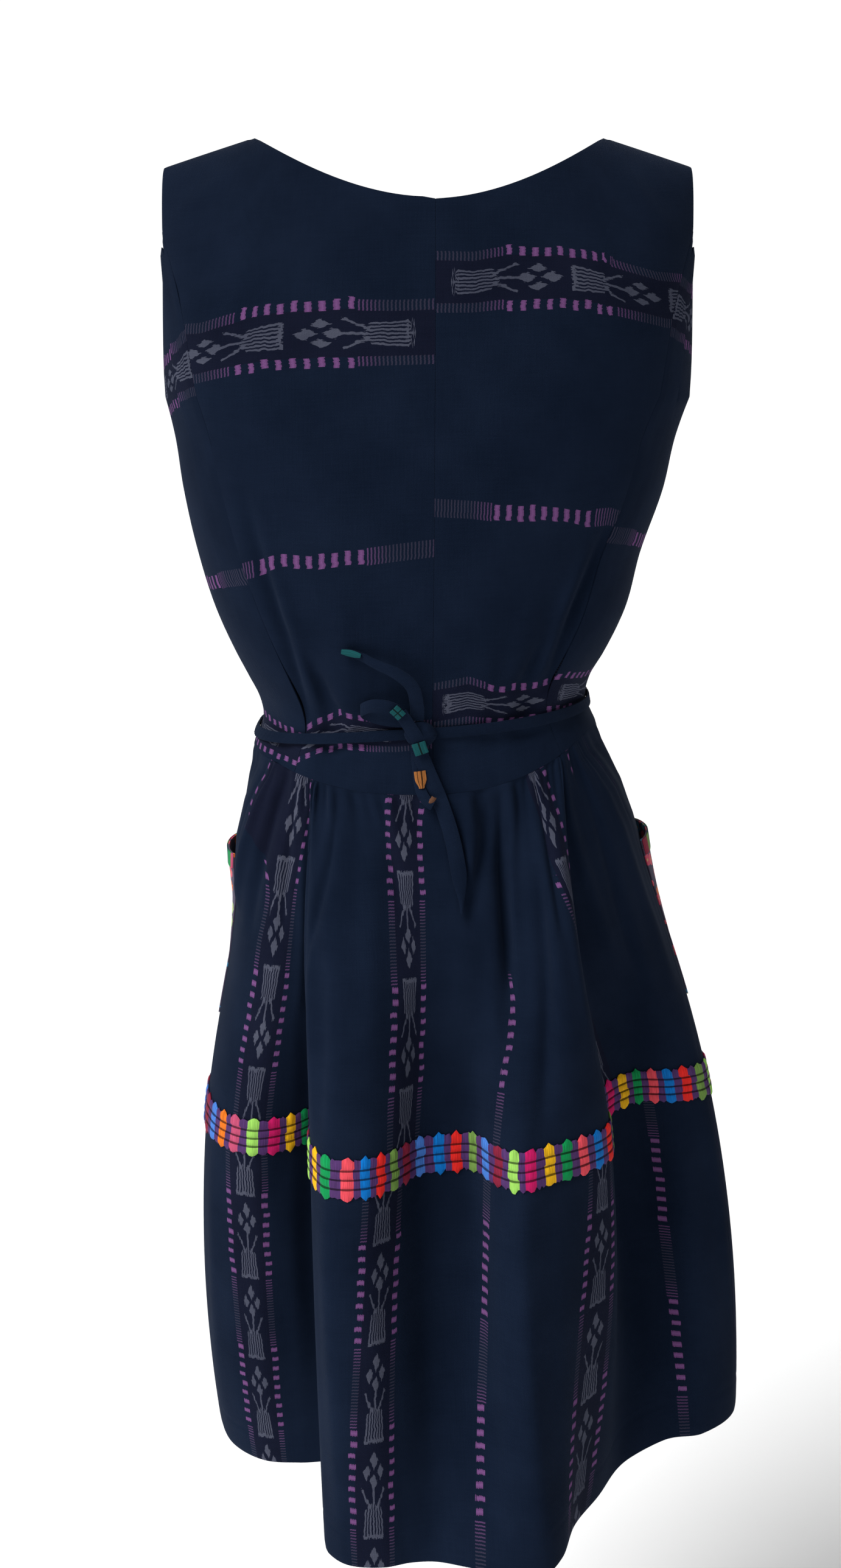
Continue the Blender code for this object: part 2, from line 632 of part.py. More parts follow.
def main():
    for old in list(bpy.data.objects):
        bpy.data.objects.remove(old, do_unlink=True)
    dress = bpy.data.collections.new("handwoven_dress")
    bpy.context.scene.collection.children.link(dress)

    back_panel("back_left", 1, dress)
    back_panel("back_right", -1, dress)
    side_panel("side_left", 1, dress)
    side_panel("side_right", -1, dress)
    front_panel(dress)

    back = np.linspace(0, CLOTH_HALF, SKIRT_BACK_COLUMNS + 1)
    front = np.linspace(CLOTH_HALF, 2 * CLOTH_HALF, SKIRT_FRONT_COLUMNS + 1)
    band = [LEVELS[2] - RANDA_HEIGHT / 2, LEVELS[2], LEVELS[2] + RANDA_HEIGHT / 2]
    upper = UPPER_ROWS + band[:2]
    lower = band[1:] + LOWER_ROWS + [LEVELS[3]]
    on_top = (WALL + RANDA_THICKNESS) / 2 + SEAM_GAP + SEAM_EASE
    for side, places in (("back", back), ("front", front)):
        skirt_panel(f"skirt_upper_{side}", places, upper, 0, WALL, INDIGO, dress)
        skirt_panel(f"skirt_lower_{side}", places, lower, 0, WALL, INDIGO, dress)
        skirt_panel(f"randa_{side}", places, band, on_top, RANDA_THICKNESS, CRIMSON, dress)

    pocket("pocket_right", "pocket_trim_right", CLOTH_HALF + POCKET_FROM_SEAM, dress)
    left_start = 2 * CLOTH_HALF - POCKET_FROM_SEAM - POCKET_WIDTH
    pocket("pocket_left", "pocket_trim_left", left_start, dress)

    strap("tie_left", FRONT_SEAM_DEG, 1, dress)
    strap("tie_right", -FRONT_SEAM_DEG, -1, dress)
    knot(dress)
    for name, route in TIE_ENDS.items():
        tie_end(name, route, name == "tie_loop", dress)


SKIRT_SIDE = side_of_skirt()
main()
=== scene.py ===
"""Looks of the handwoven dress: fine cloth shells, ikat cotton, the stitched joining band and the tie.

+Z up, the back of the dress faces +Y. Single lengths are in metres. Tables and routes are typed in
millimetres and turned into metres. The fine shells follow the tables and formulas of the solids they
stand for, with small changes such as finer creases and fuller hips. Places along the skirt are s,
along the cloth from the left side seam, and down, from the waist seam.
"""

import math

import bmesh
import bpy
import numpy as np
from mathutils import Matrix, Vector


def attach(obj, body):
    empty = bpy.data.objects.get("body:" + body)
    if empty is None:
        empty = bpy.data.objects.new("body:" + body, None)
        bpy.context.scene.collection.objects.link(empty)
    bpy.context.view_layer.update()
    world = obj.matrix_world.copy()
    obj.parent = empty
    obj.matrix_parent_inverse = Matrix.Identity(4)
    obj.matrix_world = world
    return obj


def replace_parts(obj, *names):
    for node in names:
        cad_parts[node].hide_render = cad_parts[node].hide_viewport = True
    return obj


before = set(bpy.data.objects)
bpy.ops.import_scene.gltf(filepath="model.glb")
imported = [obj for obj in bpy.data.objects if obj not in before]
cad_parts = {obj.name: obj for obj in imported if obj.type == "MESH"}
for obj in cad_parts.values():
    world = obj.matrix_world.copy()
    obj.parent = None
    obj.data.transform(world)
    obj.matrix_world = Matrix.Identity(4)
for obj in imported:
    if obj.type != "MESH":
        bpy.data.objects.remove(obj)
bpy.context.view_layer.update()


def metres(rows, but=()):
    """Rows of millimetres as metres, all but the columns that aren't lengths."""
    rows = np.array(rows, float)
    lengths = ~np.isin(np.arange(rows.shape[-1]), but)
    rows[..., lengths] /= 1000
    return rows


# The photograph's view of the back
CAMERA_PLACE = (0.006, 1.17, -0.187)
CAMERA_PITCH = 77.0
CAMERA_LENS = 35.66

# Thicknesses: the fine cloth, the wall of a solid, the stitching, the patches and the folded strap
CLOTH = 0.0012
WALL = 0.0016
STITCHED = 0.0009
PATCH_STITCHED = 0.0010
STRAP_CLOTH = 0.0014
EDGE_ROUND = 0.0003

UNDERARM_Z = -0.167
SHOULDER_TIP = 0.187
SHOULDER_TIP_Z = -0.010
SHOULDER_SLOPE = 0.30
SHOULDER_SPREAD = 1.025
NECK_HALF_WIDTH = 0.124
NECK_BACK = (-0.0405, 1.9)
NECK_FRONT = (-0.085, 2.2)
SECTION_POWER = 2.5
ARMHOLE_REACH_BACK = 18.0
ARMHOLE_REACH_FRONT = 24.0
SIDE_SEAM_MEETS_ARMHOLE = 1.5
FRONT_SEAM_DEG = 90 + ARMHOLE_REACH_FRONT * math.sin(math.pi * 0.17) ** 0.5
CENTRE_SEAM_DEG = -0.45
FOLD_END = 0.020
SETTLING_PASSES = 24

HIP_Z = -0.550
RANDA_Z = -0.712
HEM_Z = -0.997
CLOTH_HALF = 0.66
# How far down the cloth the waist seam, the hip, the randa and the hem are
LEVELS = [0.0, 0.115, 0.275, 0.560]
GATHERS_A_SIDE = 13
GATHER_DEPTH = 0.0028
GATHER_LENGTH = 0.085
FINE_GATHERS = 41
FINE_GATHER_DEPTH = 0.0009
FINE_GATHER_LENGTH = 0.045
HEM_STITCH = 0.535
HEM_STITCH_SINK = 0.0004
HEM_STITCH_HALF = 0.0014
# How deep the cloth dips at its sewn edges, and how far in
BODICE_TURN = (0.0002, 0.0015)
SKIRT_TURN = (0.0005, 0.0028)

TIE_WIDTH = 0.0095
TIE_THICKNESS = 0.0018
STRAP_WIDTH = 0.0078
STRAP_STEPS = 96
STRAP_COLUMNS = 8
STRAP_OUT = (WALL + TIE_THICKNESS) / 2 + 0.0011
STRAP_CROWN = 0.0005
STRAP_RIPPLE = 0.00018
TIE_CROWN = 0.0007
CROWN_SINK = 0.0003
TIE_Z_CENTRE = -0.398
TIE_TILT = 0.012
TIE_CROSSES_SEAM_Z = -0.4425
KNOT_X = 0.006
KNOT_SIZE = (0.0115, 0.0060, 0.0095)
STRAP_END_X = 0.0096

POCKET_WIDTH = 0.130
POCKET_TOP = 0.078
POCKET_HEIGHT = 0.130
POCKET_BULGE = 0.015
POCKET_GAPES = 0.95
POCKET_FILLED = 0.10
POCKET_FROM_SEAM = 0.022
POCKET_OUT = 0.0015
TRIM_HEIGHT = 0.012
TRIM_OUT = 0.0011
TRIM_COLOURS = ["crimson", "olive", "teal", "teal", "green", "rose"]

# height, half width to the left and right, depth to the back and front
SECTIONS = metres([
    (-460, 145, 150, 100, 99),
    (-435, 137, 141, 98, 97),
    (-418, 131, 134, 96, 94),
    (-400, 124.5, 124, 94.5, 92),
    (-385, 127, 118, 96.5, 93),
    (-368, 135, 121, 101, 97),
    (-350, 144, 131, 105, 102),
    (-320, 157, 145, 108, 110),
    (-276, 170, 156, 109, 118),
    (-231, 179, 171, 109, 121),
    (-193, 184, 179, 108, 117),
    (-167, 190, 188, 106, 110),
])

# degrees round from the centre back, height of the waist seam there
WAIST_SEAM = metres([(-118, -409), (-62, -406), (0, -442), (60, -424), (118, -421), (180, -418)], but=0)

# height share, degrees of the side-back seam, up to where it meets the armhole
SIDE_BACK_SEAM = np.array([(0, 41), (0.2, 41), (0.6, 47), (1, 54), (1.3, 62), (1.5, 72)])

# side, x and z at the tie, x and z where it fades, depth, half width
BODICE_FOLDS = metres([
    (1, 70, -408, 88, -285, 7, 10),
    (1, 107, -412, 136, -335, 5, 9),
    (1, 46, -402, 56, -300, 3, 9),
    (-1, 66, -390, 96, -275, 6.5, 10),
    (-1, 102, -386, 130, -325, 4.5, 9),
    (-1, 44, -395, 60, -290, 3, 9),
], but=0)

# place along the cloth, degrees at the waist, then x and y at the hip, the randa and the hem, and
# how far this part hangs higher; the first and last rows are the side seams
BACK_FOLDS = metres([
    (0, 58, 150, 23, 174, 30, 175, 10, 0),
    (45, 50, 137, 60, 157, 63, 159, 52, -3),
    (80, 43, 116, 79, 132, 76, 131, 72, -4),
    (110, 37, 98, 83, 107, 69, 102, 76, -3),
    (140, 33, 87, 84, 90, 60, 74, 79, 0),
    (225, 29, 82, 110, 83, 130, 73, 183, 0),
    (245, 26, 70, 119, 73, 148, 60, 194, 0),
    (272, 20, 46, 120, 46, 150, 33, 197, 0),
    (295, 13, 23, 116, 26, 137, 13, 192, 0),
    (318, 6, 6, 112, 8, 116, -6, 191, 0),
    (340, 0, -12, 110, -13, 109, -26, 196, 0),
    (362, -6, -30, 110, -34, 108, -47, 202, 0),
    (386, -12, -48, 106, -50, 130, -67, 205, 0),
    (406, -17, -61, 103, -66, 140, -85, 203, 0),
    (430, -23, -76, 112, -89, 132, -98, 189, 2),
    (460, -29, -92, 119, -113, 120, -110, 156, 3),
    (490, -37, -105, 112, -133, 102, -129, 128, 4),
    (552, -41, -110, 78, -140, 38, -163, 84, 10),
    (578, -45, -130, 63, -160, 26, -190, 70, 15),
    (618, -50, -156, 43, -194, 26, -223, 63, 16.5),
    (660, -57, -173, 12, -221, 13, -254, 32, 16.5),
], but=1)
FRONT_FOLDS = 12
# The front at the hip, the randa and the hem: centre x, half width, depth, wave of its soft folds
FRONT_LEVELS = metres([(-12, 163, 113, 3), (-24, 196, 126, 6), (-40, 211, 160, 9)])

# Routes of the tie's loop and ends: x, height, distance out from the cloth
TIE_ENDS = {
    "tie_loop": [
        (16.2, -388.2, 5.6), (30, -387.5, 4.8), (42, -385, 4.4), (47.5, -382, 7.5),
        (42, -377.5, 11.5), (32, -376.5, 13), (15, -384.8, 11),
    ],
    "tie_end_upper": [
        (8.5, -388, 6.4), (8.5, -376, 8.5), (12, -362, 11), (22, -353, 12),
        (36, -347, 9), (49, -341.2, 6), (59, -339, 5),
    ],
    "tie_end_short": [
        (9, -407.9, 5.6), (8.5, -416, 4.2), (7.5, -426, 3.6),
        (6.5, -435, 4.5), (3, -443, 7.5), (-3, -448, 8),
    ],
    "tie_end_long": [
        (7.5, -408.5, 8.5), (4, -417, 6.6), (-1, -429, 5.6), (-9, -448, 4.2),
        (-16, -470, 3.6), (-21, -495, 3.4), (-23.5, -526, 3.4),
    ],
}
# The stitched patches of the tie, routes as above, and the strand that crosses the knot
TEAL_TIP = [(47, -341.2, 8.5), (53.5, -339.8, 7.8), (60.5, -338.6, 7)]
TEAL_LOOP = [(24.8, -377.6, 16), (21.6, -380.8, 15.5), (18.8, -383.8, 15)]
TEAL_KNOT = [(7.6, -402.6, 14.2), (6.2, -407, 13), (4.8, -411.2, 11.2)]
ORANGE_PATCH = [(6.6, -423.8, 7.6), (5.8, -430, 7.2), (5, -436.2, 6.6)]
ORANGE_END = [(-3.6, -441.8, 8.8), (-1.6, -444.8, 8.6), (0.8, -446.6, 8)]
KNOT_WRAP = [(20, -381, 12.5), (14, -390.5, 12.8), (8.5, -399.5, 12.4), (5.5, -409, 9.8)]

# The ikat's own measures: pattern places run across the stripes, a figure stripe every 0.2
STRIPE_REPEAT = 0.2
ROW_HALF = 0.0165
FIGURE_REPEAT = 0.083
RUN_REPEAT = 0.1415
RUN_LENGTH = 0.0792
BLOCK_PITCH = 0.0088
BLOCK_CENTRE = 0.0034
BLOCK_HALF = 0.0017
MARK_REACH = 0.0024
TICK_PITCH = 0.0024
TICK_HALF = 0.0005
TICK_GAP = 0.0006
PINK_FADES = 0.022
PINK_RETURNS = 0.016
GLOW_REACH = 0.0045
BAND_HALF = ROW_HALF - 0.002
# The width of a yarn, how far each slips along a figure and along a row, how far a block lies off its
# row and how much it varies, and how the outlines of the figures waver
YARN = 0.00062
YARN_SLIP = 0.0030
RAGGED_ENDS = 0.0008
BLOCK_DRIFT = 0.0016
BLOCK_GROWTH = 0.0006
WAVER = 0.0022
# The figure from its base on: spans along it, and half widths and places across it
BASE_SPAN = (0.0004, 0.0036)
BASE_HALF = 0.0086
COMB_SPAN = (0.0020, 0.0315)
COMB_HALF = 0.0091
COMB_TOOTH = 0.0026
TOOTH_SHARE = 0.27
COMB_NARROWS = 9.0
OUTER_TEETH_SHORTER = 0.62
STEM_SPAN = (0.028, 0.047)
ARM_SPAN = (0.026, 0.0445)
ARM_ASIDE = 0.0024
ARM_SLANT = 0.36
LINE_HALF = 0.0008
# middle along the figure, distance aside, half width and half length of each lozenge
LOZENGES = metres([(50, 0, 3.6, 7), (59, 5.8, 3, 6.6), (68.5, 0, 3.6, 7.8)])

# pattern place, then its place along the cloth at these levels down the upper skirt; two places at
# nearly the same spot are a gather that hides what is between them
UPPER_ROW_LEVELS = [0.0, 0.030, 0.075, 0.125, 0.150, 0.220, 0.275]
UPPER_ROWS = metres([
    (-133.5, -30, -33, -36, -39, -40, -44, -46),
    (-20, 9, 6, 63, 62, 61, 56, 54),
    (-12.8, 17, 14, 71, 70, 69, 64, 62),
    (-11.8, 84, 79, 72.5, 71.5, 70.5, 65.5, 63.5),
    (16.5, 146, 130, 111, 103, 101, 94, 90),
    (100, 216, 206, 192, 188, 187, 184, 182),
    (183.5, 313.5, 304, 296, 292, 292, 292, 293),
    (216.5, 337.5, 330, 324, 319, 318, 318, 316),
    (280, 394.5, 394, 395, 397, 388, 374, 368),
    (320, 395.5, 395, 396, 398, 418, 408, 400),
    (383.5, 437, 450, 474, 502, 512, 530, 540),
    (400, 447.5, 463.5, 486.5, 515.5, 526, 543, 553),
    (416.5, 467, 486, 506, 531, 541, 556, 566),
    (500, 572, 582, 594, 604, 608, 616, 620),
    (600, 700, 701, 702, 703, 704, 706, 708),
    (700, 860, 860, 860, 860, 860, 860, 860),
])
# the same down the lower skirt
LOWER_ROW_LEVELS = [0.275, 0.325, 0.395, 0.460, 0.560]
LOWER_ROWS = metres([
    (-133.5, -70, -70, -70, -70, -70),
    (-16.5, 50, 54, 60, 64, 71),
    (16.5, 88, 90, 92, 94, 96),
    (100, 176, 176, 178, 178, 178),
    (183.5, 274, 270, 264, 258, 252),
    (216.5, 302, 298, 291, 286, 279),
    (300, 376, 372, 366, 359, 352),
    (383.5, 469, 464, 454, 446, 443),
    (416.5, 493, 491, 488, 483, 476),
    (500, 592, 594, 594, 596, 599),
    (600, 706, 708, 710, 712, 714),
    (700, 860, 860, 860, 860, 860),
])
# How far the front's pattern is shifted along its cloth from the back's
FRONT_SHIFT = 0.16
# Where folds hide a row: pattern places, heights, and a place on the row between two marks
BETWEEN_TICKS = 57 * TICK_PITCH
BETWEEN_BLOCKS = 0.0072
HIDDEN_ROWS = metres([
    (250, 360, -1, 136, BETWEEN_TICKS),
    (60, 140, -1, 1000, BETWEEN_TICKS),
    (374, 393, -1, 68, 7 * BLOCK_PITCH + BETWEEN_BLOCKS),
    (400, 440, 165, 275, BETWEEN_TICKS),
    (450, 550, 14, 275, BETWEEN_TICKS),
    (550, 650, -1, 275, BETWEEN_TICKS),
    (-26, -12, 44, 68, 6 * BLOCK_PITCH + BETWEEN_BLOCKS),
], but=4)

# Stripes of the bodice, which run across. Pattern place, where its first figure and its first run
# of blocks start out from the seam, how closely its runs follow, and its height at each station
BODICE_STATIONS = [0.0, 0.025, 0.045, 0.065, 0.085, 0.105, 0.125, 0.145, 0.170]
BODICE_ROWS = {
    1: metres([
        (300, 14.6, 52, 0.88, 50, 50, 50, 50, 50, 48, 46, 44, 40),
        (216.5, 14.6, 52, 0.88, -110.2, -111.2, -111, -110, -110.5, -112, -114.2, -118.5, -124),
        (183.5, 14.6, 52, 0.88, -143.8, -144.5, -145, -145.2, -145.8, -146.4, -148, -151, -155),
        (100, 14.6, 46, 0.97, -268, -271.2, -274.2, -275.5, -278.5, -277, -283.5, -289, -294),
        (16.5, 30, 48, 1.05, -392, -392, -390, -386, -393, -404, -400.5, -396, -390),
        (-16.5, 30, 48, 1.05, -406, -409, -409.5, -409, -414, -422, -418.5, -412, -405),
        (-50, 30, 48, 1.05, -450, -450, -450, -450, -450, -450, -450, -450, -450),
    ], but=3),
    -1: metres([
        (300, 10.8, 46, 0.94, 50, 50, 50, 50, 50, 48, 45, 42, 38),
        (216.5, 10.8, 46, 0.94, -79, -79.5, -75.8, -75.2, -74.8, -76.8, -79.6, -84.2, -89.2),
        (183.5, 10.8, 46, 0.94, -111, -110.8, -108.5, -108.2, -107, -108.5, -110.8, -114.2, -118),
        (100, 10.8, 39, 1.08, -241.2, -242.8, -245, -244.5, -245.8, -249.8, -248.5, -253.8, -260),
        (16.5, 8.5, 37, 0.98, -365, -360, -366.5, -367.5, -365, -364, -362, -360, -358),
        (-16.5, 8.5, 37, 0.98, -392, -388, -390.5, -391, -389, -388, -386, -384, -382),
        (-60, 8.5, 37, 0.98, -450, -450, -450, -450, -450, -450, -450, -450, -450),
    ], but=3),
}
SIDE_STATIONS = [0.0, 0.025, 0.050, 0.130]
SIDE_ROWS = {
    1: metres([
        (300, 0, 40, 0.88, 50, 50, 50, 50),
        (216.5, 0, 40, 0.88, -128, -135, -140, -150),
        (183.5, 0, 40, 0.88, -163.5, -166, -170, -180),
        (100, 0, 40, 0.90, -290, -293, -297, -300),
        (16.5, 26, -10, 1.00, -405, -401.5, -398, -390),
        (-16.5, 26, -10, 1.00, -424, -420.5, -417, -410),
        (-50, 26, -10, 1.00, -450, -450, -450, -450),
    ], but=3),
    -1: metres([
        (300, 0, 40, 0.88, 50, 50, 50, 50),
        (216.5, 0, 40, 0.88, -91, -94, -98, -110),
        (183.5, 0, 40, 0.88, -123.5, -126.5, -130, -140),
        (100, 0, 40, 0.90, -262, -264, -267, -270),
        (16.5, 12, -10, 1.00, -360, -362, -364, -364),
        (-16.5, 12, -10, 1.00, -384, -386, -388, -388),
        (-60, 12, -10, 1.00, -450, -450, -450, -450),
    ], but=3),
}
BODICE_FIGURE_REPEAT = {1: 0.0880, -1: 0.0835}
NO_FIGURE = 0.0795

# The joining band's bars on the back, from the left side seam: colours, and places along the cloth
RANDA_COLOURS = (
    "crimson periwinkle orange rose lime magenta yellow green coral blue red olive crimson lime yellow "
    "green coral blue red olive crimson periwinkle blue red olive periwinkle crimson lime magenta yellow "
    "green coral blue red olive crimson lime magenta yellow green coral blue red olive"
).split()
RANDA_PLACES = metres([
    11, 28, 44, 60, 78, 96, 111, 128, 144, 158, 172, 186, 200, 214, 229, 244, 260, 272, 284, 295, 306, 319,
    334, 348, 362, 376, 388, 401, 414, 428, 443, 460, 476, 491, 508, 524, 540, 555, 570, 585, 599, 614, 631,
    649,
])
RANDA_CYCLE = "lime magenta yellow green coral blue red olive crimson periwinkle orange rose".split()
RANDA_FRONT_BARS = 46
RANDA_HALF = 0.0128
RANDA_TIP = 0.0030
RANDA_NOTCH_TIP = 0.0010
RANDA_END = 0.0008
RANDA_OUT = 0.0012
RANDA_JOG = 0.0007
RANDA_UNEVEN = 0.0006
STITCH_RISE = 0.0006
CROWN_RISE = 0.0006
BAR_SHARE = 0.58
# Columns of points to a bar and its dark gaps, and those that shift with the bar
COLUMNS_A_BAR = 8
COLOURED_COLUMNS = range(2, 7)
COURSES = 4
ROWS_A_COURSE = 5
TIED_DOWN_SHADE = 0.22
SLIT_SHADE = 0.12
SLIT_HALVES = (0.03, 0.05)
THREADS = {
    "crimson": (0.190, 0.012, 0.034),
    "periwinkle": (0.050, 0.160, 0.500),
    "orange": (0.620, 0.140, 0.010),
    "rose": (0.420, 0.060, 0.130),
    "lime": (0.270, 0.540, 0.095),
    "magenta": (0.470, 0.007, 0.100),
    "yellow": (0.680, 0.370, 0.006),
    "green": (0.002, 0.220, 0.060),
    "coral": (0.650, 0.062, 0.085),
    "blue": (0.001, 0.130, 0.440),
    "red": (0.640, 0.018, 0.014),
    "olive": (0.130, 0.240, 0.050),
    "aubergine": (0.066, 0.026, 0.110),
    "teal": (0.004, 0.060, 0.066),
    "amber": (0.270, 0.100, 0.026),
    # a darker, greyer orange than the amber, used for the small end under the orange patch
    "grey_orange": (0.090, 0.040, 0.022),
}

# Dark and light tones of the yarns, how the figure stripe tints them, and the pocket cloth's colours
INDIGO = ((0.0018, 0.0044, 0.0118), (0.0060, 0.0112, 0.0256))
BAND_TINTS = ((1.25, 0.75, 0.8), (1.1, 0.75, 0.8))
GREY = ((0.030, 0.034, 0.054), (0.082, 0.088, 0.122))
PALE_TICKS = ((0.019, 0.018, 0.033), (0.038, 0.035, 0.059))
MAGENTA = ((0.060, 0.019, 0.076), (0.140, 0.057, 0.165))
PETALS = [
    (0.62, 0.14, 0.03),
    (0.60, 0.09, 0.13),
    (0.28, 0.42, 0.14),
    (0.05, 0.20, 0.34),
    (0.48, 0.05, 0.10),
]
POCKET_GROUND = ((0.020, 0.016, 0.040), (0.090, 0.075, 0.125))
FLOWER_HEART = (0.45, 0.32, 0.10)

# Soft troughs (below 0) and ridges of the bodice back: x, z, x, z, height, half width
BODICE_CREASES = metres([
    (128, -225, 84, -402, -6.2, 5),
    (118, -250, 74, -400, 4.2, 5.5),
    (155, -290, 106, -406, -5.6, 5),
    (168, -330, 126, -400, 3.4, 6),
    (98, -320, 60, -398, -4.4, 4.5),
    (66, -300, 46, -388, 2.2, 7),
    (34, -330, 40, -388, -2, 5),
    (140, -200, 118, -300, 1.2, 10),
    (-124, -250, -80, -376, -6, 5),
    (-112, -270, -70, -372, 4, 5.5),
    (-146, -300, -100, -378, -5.4, 5),
    (-150, -340, -116, -376, 3.2, 5),
    (-92, -320, -58, -370, -3.8, 4.5),
    (-34, -335, -52, -372, 1.2, 6),
    (-22, -350, -34, -382, -1, 5),
    (-134, -200, -116, -300, 1, 10),
    (172, -52, 132, -12, 1.4, 7),
    (178, -105, 120, -60, -1.4, 8),
    (-168, -62, -128, -16, 1.4, 7),
    (-174, -118, -118, -70, -1.3, 8),
    (8, -419, 78, -424, -1.4, 3.5),
    (-14, -412, -92, -398, -1.4, 3.5),
    (16, -378, 86, -372, 1.6, 5),
    (-12, -366, -90, -352, 1.4, 5),
    (60, -60, 64, -220, 0.6, 20),
    (-70, -130, -62, -300, -0.6, 20),
])
# The same of the skirt: s, down, s, down, height, half width
SKIRT_CREASES = metres([
    (165, 4, 190, 180, 4.4, 8),
    (262, 2, 212, 130, -4.2, 6),
    (221, 110, 224, 262, 3.4, 7),
    (238, 120, 236, 250, -2.2, 7),
    (284, 2, 276, 210, 2.6, 9),
    (304, 2, 300, 90, -2.4, 5),
    (347, 2, 364, 96, -4.4, 5),
    (388, 8, 362, 104, -4.4, 5),
    (367, 2, 364, 80, 3.6, 7),
    (380, 60, 386, 200, 2.2, 9),
    (398, 4, 400, 150, -7, 6),
    (414, 4, 408, 170, 3.6, 7),
    (446, 60, 424, 255, -5.6, 8),
    (452, 4, 470, 110, -4, 6),
    (474, 10, 492, 200, 2.6, 8),
    (520, 4, 556, 170, -4.4, 7),
    (548, 4, 584, 170, 3.4, 7),
    (592, 2, 604, 190, -3.6, 7),
    (630, 2, 640, 200, 2.6, 8),
    (36, -2, 18, 110, 5.8, 6),
    (66, -4, 50, 120, -6.2, 8),
    (100, 2, 90, 120, -3, 6),
    (122, 20, 118, 180, 2.2, 8),
    (310, 320, 312, 545, 2, 15),
    (336, 310, 344, 500, -2, 14),
    (420, 300, 416, 530, -2.6, 13),
    (240, 300, 248, 550, 2.2, 11),
    (70, 310, 76, 540, -2.2, 12),
    (110, 310, 114, 500, 2, 12),
    (30, 300, 32, 540, 1.8, 10),
    (552, 300, 560, 545, -2.2, 12),
    (610, 300, 620, 520, 2.4, 14),
    (640, 310, 648, 540, -1.8, 10),
    (700, 4, 696, 180, 2.6, 8),
    (735, 2, 728, 150, -2.6, 7),
    (770, 4, 776, 200, 3.2, 9),
    (815, 2, 812, 160, -3.2, 8),
    (856, 4, 860, 210, 2.6, 9),
    (902, 2, 896, 180, -3.4, 8),
    (944, 2, 948, 220, 3, 9),
    (990, 4, 996, 170, -3.2, 8),
    (1036, 2, 1030, 200, 2.8, 9),
    (1082, 2, 1090, 190, -3, 8),
    (1128, 4, 1124, 160, 2.8, 8),
    (1176, 2, 1170, 200, -2.6, 8),
    (1230, 4, 1236, 180, 2.8, 9),
    (1280, 2, 1276, 160, -2.4, 7),
    (740, 300, 746, 540, 2, 13),
    (880, 320, 888, 550, 2.4, 14),
    (970, 300, 966, 530, -2.2, 13),
    (1060, 310, 1052, 550, -2.2, 13),
    (1150, 300, 1156, 540, 2.2, 13),
    (1250, 310, 1248, 530, -2, 12),
])
# How far the skirt stands out beside its left and right side seams at each height
HIP_DOWNS = metres([0, 10, 20, 35, 60, 90, 115, 160, 220, 275])
HIP_FULLNESS = {
    0.0: metres([0, 0, 3.5, 6.8, 7.8, 3.5, -2.5, -4.5, -2, 0]),
    CLOTH_HALF: metres([0, 0, 4.5, 8, 7.2, 3, 1, 0, 0, 0]),
}
HIP_REACH = 0.060

# Of each part of the skirt: its levels of points, its stripes and their levels, where its figures
# start, their repeat and which way they stand, where its runs start and how closely they follow, its
# flat size, its cut area and how it is held
SKIRT_PARTS = {
    "upper": (
        np.concatenate([np.linspace(0, 0.060, 31), np.linspace(0.064, LEVELS[2], 50)]),
        UPPER_ROWS, UPPER_ROW_LEVELS, (0.058, 0.080, 1), (0.001, 1.0), (0.66, 0.29), 0.160, "gathered",
    ),
    "lower": (
        np.concatenate([np.linspace(LEVELS[2], 0.520, 56), np.linspace(0.5225, LEVELS[3], 20)]),
        LOWER_ROWS, LOWER_ROW_LEVELS, (0.325, 0.071, -1), (0.321, 1.056), (0.68, 0.33), 0.205, "hung",
    ),
}

# Name, direction that the light comes from, softness in degrees and strength of each studio light
LIGHTS = [("key", (1.35, 1.00, 1.80), 32, 3.7), ("front", (-0.2, -1.8, 0.9), 50, 0.9)]
WORLD_LIGHT = 0.26
SEEN_WORLD = 1.1
# A soft lamp low on the left: its place, what it faces, its width and its strength
LOW_LAMP = ((0.62, 0.62, -0.85), (0.05, 0.08, -0.72), 0.5, 2.4)
FLOOR_Z = -1.45
FLOOR_HALF = 30.0


def slopes(knots, points):
    """Slope at each knot from its two neighbours, and from the nearest three at the ends."""
    step = np.diff(knots)
    rise = np.diff(points, axis=0) / step[:, None]
    inner = (rise[:-1] * step[1:, None] + rise[1:] * step[:-1, None]) / (step[1:] + step[:-1])[:, None]
    return np.vstack([2 * rise[0] - inner[0], inner, 2 * rise[-1] - inner[-1]])


def smooth_curve(knots, points, at):
    """Smooth curve through the points, read at the places given."""
    knots = np.asarray(knots, float)
    points = np.asarray(points, float).reshape(len(knots), -1)
    slope = slopes(knots, points)
    at = np.clip(np.atleast_1d(np.asarray(at, float)), knots[0], knots[-1])
    i = np.clip(np.searchsorted(knots, at, side="right") - 1, 0, len(knots) - 2)
    span = (knots[i + 1] - knots[i])[:, None]
    t = ((at - knots[i])[:, None]) / span
    return (
        (2 * t**3 - 3 * t**2 + 1) * points[i]
        + (t**3 - 2 * t**2 + t) * span * slope[i]
        + (3 * t**2 - 2 * t**3) * points[i + 1]
        + (t**3 - t**2) * span * slope[i + 1]
    )


def closed_curve(knots, points, length, at):
    """The same curve on a closed loop of this length."""
    points = np.asarray(points, float).reshape(len(knots), -1)
    long_knots = np.concatenate([knots[-3:] - length, knots, knots[:3] + length])
    long_points = np.vstack([points[-3:], points, points[:3]])
    return smooth_curve(long_knots, long_points, np.mod(np.atleast_1d(at) - knots[0], length) + knots[0])


def table_curve(knots, points, at):
    """The smooth curve read over an array of places of any shape."""
    at = np.asarray(at, float)
    return smooth_curve(knots, points, at.ravel()).reshape(*at.shape, -1)


def ease(t):
    t = np.clip(t, 0.0, 1.0)
    return t * t * (3 - 2 * t)


